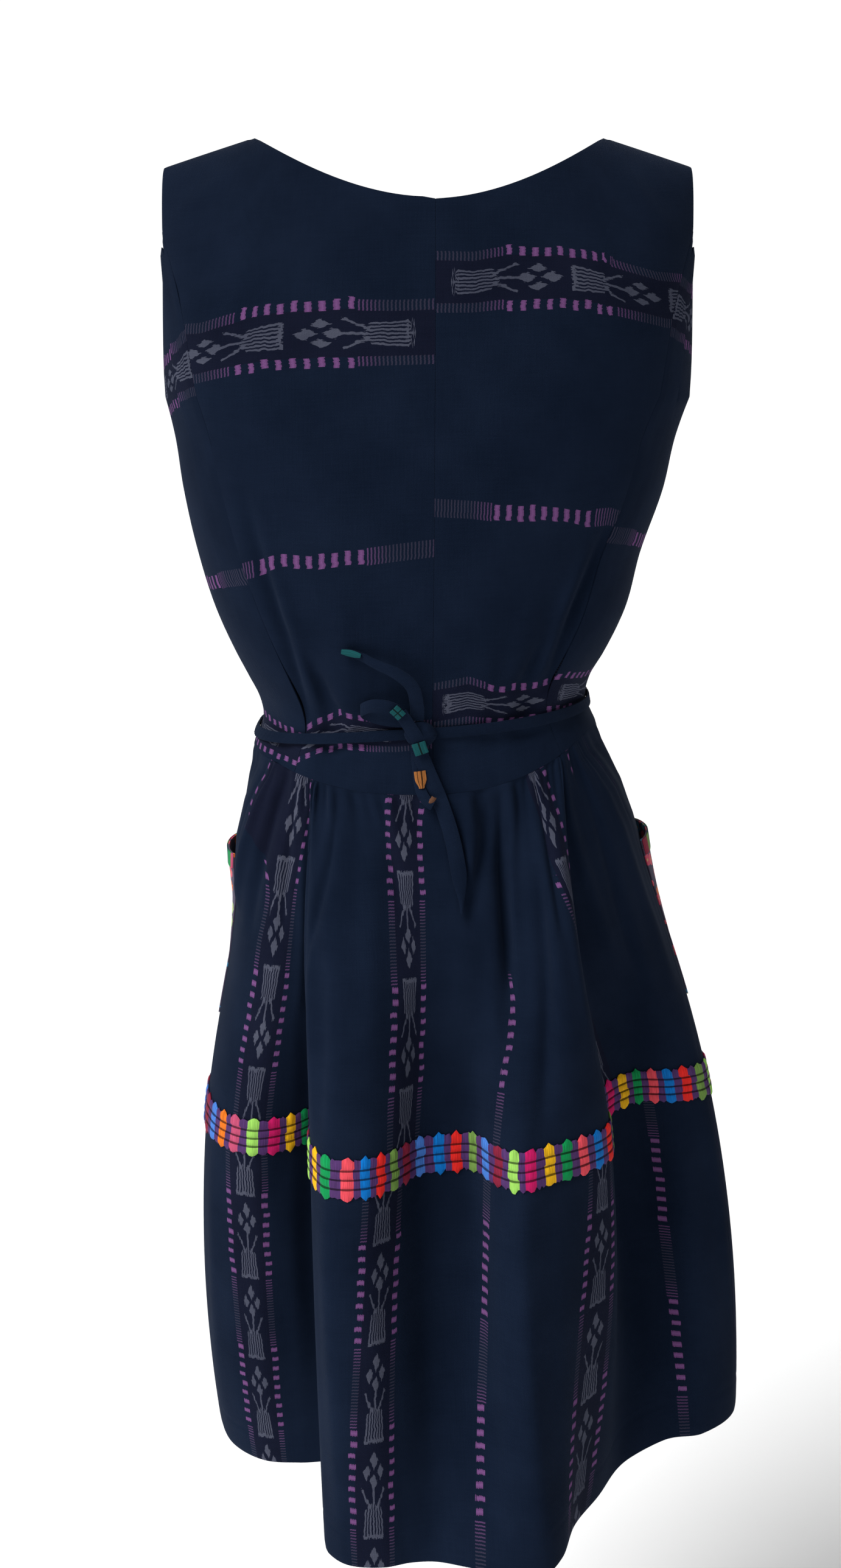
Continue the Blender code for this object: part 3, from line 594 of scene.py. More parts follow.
def like(value, *others):
    """The value as an array, as wide as the others."""
    return np.broadcast_to(np.asarray(value, float), np.broadcast(value, *others).shape)


def outwards(points):
    """Level directions from the middle of the dress through the points."""
    away = points * (1, 1, 0)
    return away / np.linalg.norm(away, axis=-1, keepdims=True)


def waist_seam_z(deg):
    deg = np.asarray(deg, float)
    return closed_curve(WAIST_SEAM[:, 0], WAIST_SEAM[:, 1], 360.0, deg.ravel()).reshape(deg.shape)


def section(z):
    """Half widths to the left and right, depths to the back and front, at these heights."""
    return np.moveaxis(table_curve(SECTIONS[:, 0], SECTIONS[:, 1:], z), -1, 0)


def ring_point(deg, z):
    """Points on the bodice's rounded sections at these heights, before its folds."""
    deg, z = like(deg, z), like(z, deg)
    left, right, back, front = section(z)
    angle = np.radians(deg)
    across, along = np.sin(angle), np.cos(angle)
    power = 2 / SECTION_POWER
    x = np.sign(across) * np.abs(across) ** power * np.where(across > 0, left, right)
    y = np.sign(along) * np.abs(along) ** power * np.where(along > 0, back, front)
    return np.stack([x, y, z], axis=-1)


def fold_depth(x, z):
    """How far the folds that run into the tie sink at these places on the back."""
    depth = np.zeros(np.shape(x))
    for side, x_low, z_low, x_high, z_high, deepest, half in BODICE_FOLDS:
        up = (z - z_low) / (z_high - z_low)
        middle = x_low + (x_high - x_low) * np.maximum(up, 0.0)
        fade = np.where(up > 0, 1 - ease(up), 1 - ease(-up * (z_high - z_low) / FOLD_END))
        shown = (x * side > 0) & (up <= 1)
        depth += shown * deepest * fade * np.exp(-(((np.abs(x) - middle) / half) ** 2))
    return depth


def shoulder_z(x):
    return SHOULDER_TIP_Z + (SHOULDER_TIP - np.minimum(np.abs(x), SHOULDER_TIP)) * SHOULDER_SLOPE


def bodice_point(deg, h):
    """The bodice: h runs 0 to 1 from the waist seam to the underarm, 1 to 2 over the shoulder."""
    deg, h = like(deg, h), like(h, deg)
    seam = waist_seam_z(deg)
    low = ring_point(deg, seam + (UNDERARM_Z - seam) * np.minimum(h, 1))
    low[..., 1] -= fold_depth(low[..., 0], low[..., 2]) * (low[..., 1] > 0)
    high = ring_point(deg, UNDERARM_Z)
    lean = np.radians(90 * np.clip(h - 1, 0, 1))
    high[..., 0] *= 1 + (SHOULDER_SPREAD - 1) * np.sin(lean)
    high[..., 1] *= np.cos(lean)
    high[..., 2] += (shoulder_z(high[..., 0]) - UNDERARM_Z) * np.sin(lean)
    return np.where((h <= 1)[..., None], low, high)


def armhole_deg(h, reach):
    up = np.clip(np.asarray(h) - 1, 0.0, 0.5)
    return 90 - reach * np.sin(math.pi * up) ** 0.5


def side_back_deg(h):
    return table_curve(SIDE_BACK_SEAM[:, 0], SIDE_BACK_SEAM[:, 1], h)[..., 0]


def back_edge_deg(h):
    return np.where(h <= SIDE_SEAM_MEETS_ARMHOLE, side_back_deg(h), armhole_deg(h, ARMHOLE_REACH_BACK))


def front_edge_deg(h):
    return np.minimum(180 - FRONT_SEAM_DEG, armhole_deg(h, ARMHOLE_REACH_FRONT))


def top_share(deg, low_z, curve):
    """Height share of the neckline at these degrees, or of the shoulder seam beyond it."""
    x = np.abs(ring_point(deg, UNDERARM_Z)[..., 0]) * SHOULDER_SPREAD
    share = np.minimum(x / NECK_HALF_WIDTH, 1)
    z = low_z + (shoulder_z(NECK_HALF_WIDTH) - low_z) * share**curve
    lean = np.clip((z - UNDERARM_Z) / (shoulder_z(x) - UNDERARM_Z), -1, 1)
    return np.where(x >= NECK_HALF_WIDTH, 2.0, 1 + np.degrees(np.arcsin(lean)) / 90)


def armhole_share(deg):
    """Height share of the armhole's edge here; 90 degrees is the side, more is the front."""
    reach = np.where(deg <= 90, ARMHOLE_REACH_BACK, ARMHOLE_REACH_FRONT)
    away = np.minimum(np.abs(90 - deg) / reach, 1.0)
    return 1 + np.arcsin(away**2) / math.pi


def skirt_folds():
    """Every fold of the skirt, all the way round: the back's from their table, then the front's."""
    _s, waist_from, *_plan, lift = BACK_FOLDS[-1]
    waist_to = BACK_FOLDS[0, 1] - 360
    front = []
    for k in range(1, FRONT_FOLDS):
        share = k / FRONT_FOLDS
        angle = math.radians(-90 - 180 * share)
        wave = 1 if k % 2 else -1
        row = [CLOTH_HALF * (1 + share), waist_from + (waist_to - waist_from) * share]
        for centre, half, depth, amount in FRONT_LEVELS:
            x = centre + (half + wave * amount) * math.sin(angle)
            row += [x, (depth + wave * amount) * math.cos(angle)]
        front.append([*row, lift * (1 - float(ease(share)))])
    return np.vstack([BACK_FOLDS, front])


FOLDS = skirt_folds()


def skirt_levels(s):
    """The waist, hip, randa and hem points at these places along the cloth."""
    length = 2 * CLOTH_HALF
    plan = closed_curve(FOLDS[:, 0], FOLDS[:, 2:], length, s)
    knots = np.append(FOLDS[:, 0], length)
    deg = smooth_curve(knots, np.append(FOLDS[:, 1], FOLDS[0, 1] - 360), np.mod(s, length))[:, 0]
    lift = plan[:, 6]
    waist = ring_point(deg, waist_seam_z(deg))
    hip = np.column_stack([plan[:, 0:2], HIP_Z + lift * 0.5])
    randa = np.column_stack([plan[:, 2:4], RANDA_Z + lift])
    hem = np.column_stack([plan[:, 4:6], HEM_Z + lift * 0.9])
    return np.stack([waist, hip, randa, hem], axis=1)


def skirt_point(s, down):
    """The skirt: s along the cloth from the left side seam, down from the waist seam."""
    s, down = like(s, down), like(down, s)
    shape = s.shape
    s, down = s.ravel(), down.ravel()
    weights = smooth_curve(LEVELS, np.eye(len(LEVELS)), down)
    points = np.einsum("nk,nkc->nc", weights, skirt_levels(s))
    share = np.clip(down / GATHER_LENGTH, 0, 1)
    swell = np.sin(math.pi * share**0.45) * (1 - share)
    wave = np.cos(2 * math.pi * GATHERS_A_SIDE * s / CLOTH_HALF)
    wave *= np.abs(np.sin(math.pi * s / CLOTH_HALF)) ** 0.5
    out = GATHER_DEPTH * wave * swell
    for seam, fullness in HIP_FULLNESS.items():
        away = np.mod(s - seam + CLOTH_HALF, 2 * CLOTH_HALF) - CLOTH_HALF
        out = out + np.interp(down, HIP_DOWNS, fullness) * np.exp(-((away / HIP_REACH) ** 2))
    points += outwards(points) * out[:, None]
    return points.reshape(*shape, 3)


def skirt_normal(s, down):
    """Outward normals of the skirt, which keep their side through the folds."""
    step = 0.0015
    along = skirt_point(s + step, down) - skirt_point(s - step, down)
    fall = skirt_point(s, down + step) - skirt_point(s, np.maximum(down - step, 0.0))
    normal = np.cross(fall, along)
    return normal / np.linalg.norm(normal, axis=-1, keepdims=True)


def grid_normals(points, outward):
    """Normals of a grid of points, turned to the side that the outward point lies on."""
    normal = np.cross(np.gradient(points, axis=0), np.gradient(points, axis=1))
    normal /= np.maximum(np.linalg.norm(normal, axis=2, keepdims=True), 1e-9)
    middle = (points.shape[0] // 2, points.shape[1] // 2)
    return normal if np.dot(normal[middle], outward) > 0 else -normal


def lengths_of(points):
    """Length along each line of a grid, both ways, in metres: the cloth's own coordinates."""
    u = np.zeros(points.shape[:2])
    v = np.zeros(points.shape[:2])
    u[1:] = np.cumsum(np.linalg.norm(np.diff(points, axis=0), axis=2), axis=0)
    v[:, 1:] = np.cumsum(np.linalg.norm(np.diff(points, axis=1), axis=2), axis=1)
    return u, v


def crease_height(a, b, creases):
    """Height of the troughs and ridges at the places (a, b), each a line that fades at its ends."""
    height = np.zeros(np.shape(a))
    for a0, b0, a1, b1, tall, half in creases:
        run_a, run_b = a1 - a0, b1 - b0
        span = math.hypot(run_a, run_b)
        along = ((a - a0) * run_a + (b - b0) * run_b) / span**2
        away = ((a - a0) * run_b - (b - b0) * run_a) / span
        bend = 0.25 * half * np.sin(along * 5 + a0 * 60)
        fade = np.sin(math.pi * np.clip(along, 0, 1)) ** 0.6 * (along > 0) * (along < 1)
        height += tall * fade * np.exp(-(((away + bend) / half) ** 2))
    return height


def soften(height):
    """Evens out a grid of heights twice, so that a crease has no sharp end."""
    for _pass in range(2):
        edged = np.pad(height, 1, mode="edge")
        sides = edged[:-2, 1:-1] + edged[2:, 1:-1] + edged[1:-1, :-2] + edged[1:-1, 2:]
        height = (4 * height + sides) / 8
    return height


def edge_turn(points, deep, reach):
    """How far the cloth dips towards its sewn or turned edges."""
    u, v = lengths_of(points)
    nearest = np.minimum(np.minimum(u, u[-1] - u), np.minimum(v, v[:, -1:] - v))
    return -deep * np.exp(-((nearest / reach) ** 2))


# Making a piece


def linked(name, data):
    thing = bpy.data.objects.new(name, data)
    bpy.context.collection.objects.link(thing)
    return thing


def mesh_of(name, bm):
    mesh = bpy.data.meshes.new(name)
    bm.to_mesh(mesh)
    bm.free()
    return mesh


def dressed(mesh, material, places):
    """The mesh as a piece of the dress, with each vertex's own place on its cloth."""
    layer = mesh.uv_layers.new(name="Cloth")
    corners = np.zeros(len(mesh.loops), int)
    mesh.loops.foreach_get("vertex_index", corners)
    layer.uv.foreach_set("vector", places[corners].astype(np.float32).ravel())
    mesh.shade_smooth()
    mesh.materials.append(material)
    piece = linked(mesh.name, mesh)
    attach(piece, "root")
    return piece


def cloth(name, slot, points, thickness, material, uv, pattern=None, thread=None):
    """One cloth piece: a flat grid moved onto the points, then thickened both ways."""
    across, down = points.shape[0] - 1, points.shape[1] - 1
    bm = bmesh.new()
    bmesh.ops.create_grid(bm, x_segments=across, y_segments=down, size=0.5)
    at = np.array([(round((v.co.x + 0.5) * across), round((v.co.y + 0.5) * down)) for v in bm.verts])
    for vert, (i, j) in zip(bm.verts, at):
        vert.co = points[i, j]
    mesh = mesh_of(name, bm)
    if pattern is not None:
        layer = mesh.attributes.new("ikat", "FLOAT_VECTOR", "POINT")
        layer.data.foreach_set("vector", pattern[at[:, 0], at[:, 1]].astype(np.float32).ravel())
    if thread:
        layer = mesh.attributes.new("thread", "FLOAT_COLOR", "CORNER")
        colours = np.zeros((len(mesh.loops), 4), np.float32)
        for face in mesh.polygons:
            i, j = at[list(face.vertices)].min(axis=0)
            colours[list(face.loop_indices)] = (*thread(i, j), 1.0)
        layer.data.foreach_set("color", colours.ravel())
    piece = dressed(mesh, material, uv[at[:, 0], at[:, 1]])
    solidify = piece.modifiers.new("wall", "SOLIDIFY")
    solidify.thickness = thickness
    solidify.offset = 0.0
    rounded = piece.modifiers.new("rounded", "BEVEL")
    rounded.width = EDGE_ROUND
    rounded.segments = 1
    rounded.limit_method = "ANGLE"
    rounded.angle_limit = math.radians(60)
    rounded.harden_normals = True
    return piece


def cover(node, slot, *looks, **more):
    """The cloth piece that stands for this node of the frame."""
    piece = cloth(f"{node}_cloth", slot, *looks, **more)
    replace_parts(piece, node)
    return piece


# Shader parts


def feed(tree, socket, value):
    """Links another node's output into a socket, or sets its value."""
    if isinstance(value, bpy.types.NodeSocket):
        tree.links.new(value, socket)
    elif socket.type == "RGBA":
        socket.default_value = (*value, 1.0)
    else:
        socket.default_value = value


def shader_node(tree, kind, inputs, **settings):
    """A new node of this kind, with its settings made and its inputs fed."""
    node = tree.nodes.new(f"ShaderNode{kind}")
    for name, value in settings.items():
        setattr(node, name, value)
    for key, value in inputs.items():
        feed(tree, node.inputs[key], value)
    return node


def math_node(tree, operation, *inputs):
    return shader_node(tree, "Math", dict(enumerate(inputs)), operation=operation).outputs[0]


def noise_node(tree, vector, scale, detail=2.0, roughness=0.5):
    inputs = {"Vector": vector, "Scale": scale, "Detail": detail, "Roughness": roughness}
    return shader_node(tree, "TexNoise", inputs).outputs["Fac"]


def stretched(tree, vector, scale):
    return shader_node(tree, "Mapping", {"Vector": vector, "Scale": scale}).outputs["Vector"]


def spread(tree, value, low, high, to_low=0.0, to_high=1.0):
    """The value, with low to high spread over the new range."""
    inputs = {"Value": value, "From Min": low, "From Max": high, "To Min": to_low, "To Max": to_high}
    return shader_node(tree, "MapRange", inputs).outputs[0]


def mix(tree, mask, first, second):
    return shader_node(tree, "Mix", {0: mask, 6: first, 7: second}, data_type="RGBA").outputs[2]


def new_group(name, socket_name, outputs):
    """A node group of one vector, its steps, its own vector and its outputs to feed."""
    group = bpy.data.node_groups.new(name, "ShaderNodeTree")
    group.interface.new_socket(socket_name, in_out="INPUT", socket_type="NodeSocketVector")
    for output in outputs:
        group.interface.new_socket(output, in_out="OUTPUT", socket_type="NodeSocketFloat")
    vector = group.nodes.new("NodeGroupInput").outputs[0]
    end = group.nodes.new("NodeGroupOutput")

    def step(operation, *inputs):
        return math_node(group, operation, *inputs)

    def give(output, value):
        group.links.new(value, end.inputs[output])

    return group, step, vector, give


def ikat_group():
    """Masks of the ikat: the grey figures, the magenta blocks and the fine ticks.

    Place holds the pattern place across the stripes, the length along the figures and the length
    along the rows. Each yarn is dyed a little out of step, which feathers every edge.
    """
    masks = ["Figures", "Blocks", "Ticks", "Pink", "Band", "Glow"]
    group, m, place, give = new_group("ikat", "Place", masks)
    q, t_figure, t_row = shader_node(group, "SeparateXYZ", {0: place}).outputs

    def within(value, low, high):
        return m("MULTIPLY", m("GREATER_THAN", value, low), m("LESS_THAN", value, high))

    def off_by(value, middle):
        return m("ABSOLUTE", m("SUBTRACT", value, middle))

    def uneven(noise, amount):
        return m("MULTIPLY", m("SUBTRACT", noise, 0.5), amount)

    a = m("SUBTRACT", m("FLOORED_MODULO", m("ADD", q, STRIPE_REPEAT / 2), STRIPE_REPEAT), STRIPE_REPEAT / 2)
    b = m("SUBTRACT", m("FLOORED_MODULO", q, STRIPE_REPEAT), STRIPE_REPEAT / 2)
    yarn = m("FLOOR", m("DIVIDE", q, YARN))
    random = shader_node(group, "TexWhiteNoise", {"W": yarn}, noise_dimensions="1D").outputs["Value"]

    # the figures: a comb on its base, a stem with two arms, and lozenges
    across = m("ABSOLUTE", m("ADD", a, uneven(noise_node(group, place, 160.0, 1.0), WAVER)))
    t = m("ADD", m("FLOORED_MODULO", t_figure, FIGURE_REPEAT), uneven(random, YARN_SLIP))
    taper = m("MULTIPLY", across, m("ADD", m("MULTIPLY", t, COMB_NARROWS), 1.0))
    tooth = off_by(m("FRACT", m("ADD", m("DIVIDE", taper, COMB_TOOTH), 0.5)), 0.5)
    comb_end = m("SUBTRACT", COMB_SPAN[1], m("MULTIPLY", across, OUTER_TEETH_SHORTER))
    comb = m("MULTIPLY", m("LESS_THAN", tooth, TOOTH_SHARE), within(t, COMB_SPAN[0], comb_end))
    comb = m("MULTIPLY", comb, m("LESS_THAN", taper, COMB_HALF))
    base = m("MULTIPLY", within(t, *BASE_SPAN), m("LESS_THAN", across, BASE_HALF))
    stem = m("MULTIPLY", within(t, *STEM_SPAN), m("LESS_THAN", across, LINE_HALF))
    arm_line = m("ADD", m("MULTIPLY", m("SUBTRACT", t, ARM_SPAN[0]), ARM_SLANT), ARM_ASIDE)
    arm = m("LESS_THAN", off_by(across, arm_line), LINE_HALF)
    figures = m("MULTIPLY", arm, within(t, *ARM_SPAN))
    for middle, aside, wide, long in LOZENGES:
        reach = m("ADD", m("DIVIDE", off_by(across, aside), wide), m("DIVIDE", off_by(t, middle), long))
        figures = m("MAXIMUM", figures, m("LESS_THAN", reach, 1.0))
    for part in (comb, base, stem):
        figures = m("MAXIMUM", figures, part)

    # the blocks, each a little off its row
    ragged = uneven(random, RAGGED_ENDS)
    run = m("FLOORED_MODULO", t_row, RUN_REPEAT)
    ids = {0: m("FLOOR", m("DIVIDE", t_row, BLOCK_PITCH)), 1: m("FLOOR", m("DIVIDE", q, 2 * ROW_HALF))}
    ids = shader_node(group, "CombineXYZ", ids).outputs[0]
    chance = shader_node(group, "TexWhiteNoise", {"Vector": ids}, noise_dimensions="2D").outputs["Value"]
    drift = uneven(chance, BLOCK_DRIFT)
    across = m("ABSOLUTE", a)
    to_row = m("ABSOLUTE", m("ADD", m("SUBTRACT", across, ROW_HALF), drift))
    to_single = m("MULTIPLY", m("ABSOLUTE", m("ADD", b, drift)), 0.74)
    in_block = off_by(m("FLOORED_MODULO", m("ADD", run, ragged), BLOCK_PITCH), BLOCK_CENTRE)
    block = m("LESS_THAN", in_block, m("ADD", BLOCK_HALF, m("MULTIPLY", chance, BLOCK_GROWTH)))
    block = m("MULTIPLY", block, m("LESS_THAN", m("MINIMUM", to_row, to_single), MARK_REACH))
    block = m("MULTIPLY", block, m("LESS_THAN", run, RUN_LENGTH))

    # the ticks are pink beside the blocks and fade to grey away from them
    even_row = m("MINIMUM", off_by(across, ROW_HALF), m("MULTIPLY", m("ABSOLUTE", b), 0.6))
    in_tick = m("FLOORED_MODULO", m("ADD", run, m("MULTIPLY", ragged, 0.4)), TICK_PITCH)
    tick = m("LESS_THAN", off_by(in_tick, TICK_PITCH / 2), TICK_HALF)
    tick = m("MULTIPLY", tick, m("LESS_THAN", even_row, MARK_REACH))
    tick = m("MULTIPLY", tick, m("GREATER_THAN", run, RUN_LENGTH + TICK_GAP))
    after = m("MINIMUM", m("DIVIDE", m("SUBTRACT", run, RUN_LENGTH), PINK_FADES), 1.0)
    before = m("MINIMUM", m("DIVIDE", m("SUBTRACT", RUN_REPEAT, run), PINK_RETURNS), 1.0)
    pink = m("MULTIPLY", tick, m("SUBTRACT", 1.0, m("MINIMUM", after, before)))

    give("Figures", figures)
    give("Blocks", block)
    give("Ticks", tick)
    give("Pink", pink)
    give("Band", m("LESS_THAN", across, BAND_HALF))
    give("Glow", m("SUBTRACT", 1.0, m("DIVIDE", in_block, GLOW_REACH)))
    return group


def weave_group():
    """Plain weave with slubs: a height for the bump and a tone for the colour."""
    group, m, uv, give = new_group("handwoven cloth", "Cloth", ["Height", "Tone"])
    parts = shader_node(group, "SeparateXYZ", {0: uv}).outputs
    warp = m("SINE", m("MULTIPLY", parts[0], 2 * math.pi / 0.0011))
    weft = m("SINE", m("MULTIPLY", parts[1], 2 * math.pi / 0.0010))
    weave = m("MULTIPLY", warp, weft)
    slub_down = noise_node(group, stretched(group, uv, (900.0, 45.0, 1.0)), 1.0)
    slub_across = noise_node(group, stretched(group, uv, (40.0, 800.0, 1.0)), 1.0)
    cloudy = noise_node(group, uv, 14.0, 3.0, 0.6)
    slubs = m("ADD", slub_down, slub_across)
    give("Height", m("ADD", m("MULTIPLY", weave, 0.35), m("MULTIPLY", slubs, 0.8)))
    tone = m("ADD", m("MULTIPLY", slubs, 0.13), m("MULTIPLY", cloudy, 0.50))
    give("Tone", m("ADD", tone, m("MULTIPLY", weave, 0.05)))
    return group


IKAT = ikat_group()
WEAVE = weave_group()


def new_material(name, **values):
    """A new material, its node tree and its shader, with these values on the shader's sockets."""
    material = bpy.data.materials.new(name)
    material.use_nodes = True
    shader = material.node_tree.nodes["Principled BSDF"]
    for socket, value in values.items():
        feed(material.node_tree, shader.inputs[socket.replace("_", " ")], value)
    return material, material.node_tree, shader


def cloth_material(name, roughness, sheen, tint, specular):
    """The same with a cloth's gloss, and the cloth's own coordinates."""
    gloss = {"Specular_IOR_Level": specular, "Sheen_Weight": sheen, "Sheen_Tint": tint}
    material, tree, shader = new_material(name, Roughness=roughness, Sheen_Roughness=0.45, **gloss)
    return material, tree, shader, shader_node(tree, "UVMap", {}, uv_map="Cloth").outputs[0]


def placed(tree, group, vector):
    """Places a node group in the tree, fed with its vector, and gives its outputs."""
    return shader_node(tree, "Group", {0: vector}, node_tree=group).outputs


def finish_material(tree, shader, colour, height, strength, distance):
    """Feeds the colour and the bump into the shader."""
    bump = shader_node(tree, "Bump", {"Strength": strength, "Distance": distance, "Height": height})
    feed(tree, shader.inputs["Normal"], bump.outputs["Normal"])
    feed(tree, shader.inputs["Base Color"], colour)


def indigo_cotton(name, bump, figured):
    """Matte handwoven indigo, with the ikat where it is figured."""
    material, tree, shader, uv = cloth_material(name, 0.92, 0.03, (0.45, 0.60, 0.95), 0.03)
    weave = placed(tree, WEAVE, uv)
    tone = spread(tree, weave["Tone"], 0.16, 0.62)
    colour = mix(tree, tone, *INDIGO)
    if figured:
        place = shader_node(tree, "Attribute", {}, attribute_name="ikat").outputs["Vector"]
        ikat = placed(tree, IKAT, place)

        def worn(mask, share):
            return math_node(tree, "MULTIPLY", ikat[mask], share)

        band = [[a * b for a, b in zip(*pair)] for pair in zip(INDIGO, BAND_TINTS)]
        colour = mix(tree, ikat["Band"], colour, mix(tree, tone, *band))
        colour = mix(tree, worn("Figures", 0.85), colour, mix(tree, tone, *GREY))
        colour = mix(tree, worn("Ticks", 0.75), colour, mix(tree, tone, *PALE_TICKS))
        colour = mix(tree, worn("Pink", 0.6), colour, mix(tree, tone, *MAGENTA))
        dim = [0.55 * part for part in MAGENTA[0]]
        colour = mix(tree, worn("Blocks", 0.92), colour, mix(tree, ikat["Glow"], dim, MAGENTA[1]))
    finish_material(tree, shader, colour, weave["Height"], bump, 0.0004)
    return material


def satin_stitch(name):
    """Thread laid side by side, in the colours kept on the piece's own thread attribute."""
    material, tree, shader, uv = cloth_material(name, 0.70, 0.02, (0.9, 0.9, 0.9), 0.08)
    colour = shader_node(tree, "Attribute", {}, attribute_name="thread").outputs["Color"]
    strands = noise_node(tree, stretched(tree, uv, (2600.0, 70.0, 1.0)), 1.0, 1.0)
    shade = spread(tree, strands, 0.3, 0.7, 0.62, 1.15)
    scaled = shader_node(tree, "VectorMath", {0: colour, "Scale": shade}, operation="SCALE").outputs[0]
    finish_material(tree, shader, scaled, strands, 0.7, 0.0005)
    return material


def flowered_cloth(name):
    """Handwoven pocket cloth: small coloured flowers on a dark grey-violet ground."""
    material, tree, shader, uv = cloth_material(name, 0.85, 0.10, (0.9, 0.85, 0.9), 0.15)
    weave = placed(tree, WEAVE, uv)
    scatter = {"Vector": uv, "Scale": 80.0, "Randomness": 0.75}
    cells = shader_node(tree, "TexVoronoi", scatter, voronoi_dimensions="2D")
    hue = shader_node(tree, "SeparateColor", {0: cells.outputs["Color"]}).outputs[0]
    petals = shader_node(tree, "ValToRGB", {0: hue})
    petals.color_ramp.interpolation = "CONSTANT"
    for k, petal in enumerate(PETALS):
        place = k / len(PETALS)
        element = petals.color_ramp.elements[k] if k < 2 else petals.color_ramp.elements.new(place)
        element.position = place
        element.color = (*petal, 1.0)
    ragged = math_node(tree, "MULTIPLY", noise_node(tree, uv, 420.0, 2.0), 0.30)
    reach = math_node(tree, "ADD", cells.outputs["Distance"], ragged)
    colour = mix(tree, weave["Tone"], *POCKET_GROUND)
    colour = mix(tree, math_node(tree, "LESS_THAN", reach, 0.50), colour, petals.outputs[0])
    colour = mix(tree, math_node(tree, "LESS_THAN", reach, 0.24), colour, FLOWER_HEART)
    finish_material(tree, shader, colour, weave["Height"], 0.8, 0.0006)
    return material


indigo = indigo_cotton("indigo_ikat", 0.45, True)
plain = indigo_cotton("indigo_plain", 0.6, False)
stitching = satin_stitch("satin_thread")
flowers = flowered_cloth("pocket_cloth")

# The cloth's places on the pattern


def skirt_pattern(s, downs, rows, levels, figures, runs):
    """Pattern place, length along the figures and length along the rows, over a grid of the skirt."""
    along = smooth_curve(levels, rows[:, 1:].T, downs)
    turned = np.where(s > CLOTH_HALF, s - CLOTH_HALF + FRONT_SHIFT, s)
    q = np.stack([np.interp(turned, line, rows[:, 0]) for line in along], axis=1)
    first, repeat, way = figures
    t = (downs - first) * way * FIGURE_REPEAT / repeat
    t_row = np.broadcast_to((downs - runs[0]) * runs[1], q.shape).copy()
    for low, high, from_down, to_down, kept in HIDDEN_ROWS:
        t_row[(q > low) & (q < high) & (downs > from_down) & (downs < to_down)] = kept
    return np.stack([q, np.broadcast_to(t, q.shape), t_row], axis=2)


def bodice_pattern(points, side, rows, stations):
    """The same over a panel of the bodice, whose stripes run across."""
    u = lengths_of(points)[0]
    level = points[:, :, 2]
    heights = [np.interp(u, stations, row[4:]) for row in rows]
    q = np.full(u.shape, rows[-1, 0])
    for i in range(len(rows) - 1):
        share = (level - heights[i]) / (heights[i + 1] - heights[i])
        inside = (share >= 0) & (share < 1)
        q = np.where(inside, rows[i, 0] + share * (rows[i + 1, 0] - rows[i, 0]), q)
    q = np.where(level > heights[0], rows[0, 0], q)
    figure_start, run_start, run_scale = [np.interp(q, rows[::-1, 0], rows[::-1, k]) for k in (1, 2, 3)]
    t = (u - figure_start) * FIGURE_REPEAT / BODICE_FIGURE_REPEAT[side]
    t = np.where(t < 0, NO_FIGURE, t)
    return np.stack([q, t, (u - run_start) * run_scale], axis=2)


# Pieces of the dress


def bunched(count, share):
    """Places from 0 to 1, closer together towards both ends."""
    even = np.linspace(0, 1, count + 1)
    return even * (1 - share) + (0.5 - 0.5 * np.cos(math.pi * even)) * share


def bodice_panel(node, points, side, outward, rows, stations):
    x, z = points[:, :, 0], points[:, :, 2]
    relief = crease_height(x, z, BODICE_CREASES) if outward[1] > 0 else np.zeros(x.shape)
    relief = soften(relief) + edge_turn(points, *BODICE_TURN)
    pattern = bodice_pattern(points, side, rows[side], stations)
    u, v = lengths_of(points)
    moved = points + grid_normals(points, outward) * relief[:, :, None]
    piece = cover(node, "indigo_cotton", moved, CLOTH, indigo, np.stack([u, -v], axis=2), pattern)


def settled(shares, edge_deg, neck):
    """Degrees and height shares of a grid whose top follows the neckline and the shoulder."""
    share, row = np.meshgrid(shares, bunched(120, 0.15) * 2, indexing="ij")
    h = row.copy()
    for _pass in range(SETTLING_PASSES):
        deg = edge_deg(h) * share
        h = np.where(row <= 1, row, 1 + (row - 1) * (top_share(deg, *neck) - 1))
    return deg, h


def bodice_back(node, side):
    deg, h = settled(bunched(44, 0.4), back_edge_deg, NECK_BACK)
    shares = deg / np.maximum(back_edge_deg(h), 1e-6)
    points = bodice_point(side * deg + CENTRE_SEAM_DEG * (1 - shares), h)
    bodice_panel(node, points, side, (0, 1, 0), BODICE_ROWS, BODICE_STATIONS)


def bodice_side(node, side):
    shares = bunched(26, 0.4)
    meet = side_back_deg(SIDE_SEAM_MEETS_ARMHOLE)
    top = armhole_share(meet + (FRONT_SEAM_DEG - meet) * shares)
    for _pass in range(SETTLING_PASSES):
        inner = side_back_deg(top)
        top = (top + armhole_share(inner + (FRONT_SEAM_DEG - inner) * shares)) / 2
    h = top[:, None] * bunched(90, 0.15)[None, :]
    inner = side_back_deg(h)
    points = bodice_point(side * (inner + (FRONT_SEAM_DEG - inner) * shares[:, None]), h)
    bodice_panel(node, points, side, (side, 0, 0), SIDE_ROWS, SIDE_STATIONS)


def bodice_front():
    deg, h = settled(bunched(72, 0.25) * 2 - 1, front_edge_deg, NECK_FRONT)
    points = bodice_point(180 - deg, h)
    bodice_panel("front", points, -1, (0, -1, 0), BODICE_ROWS, BODICE_STATIONS)


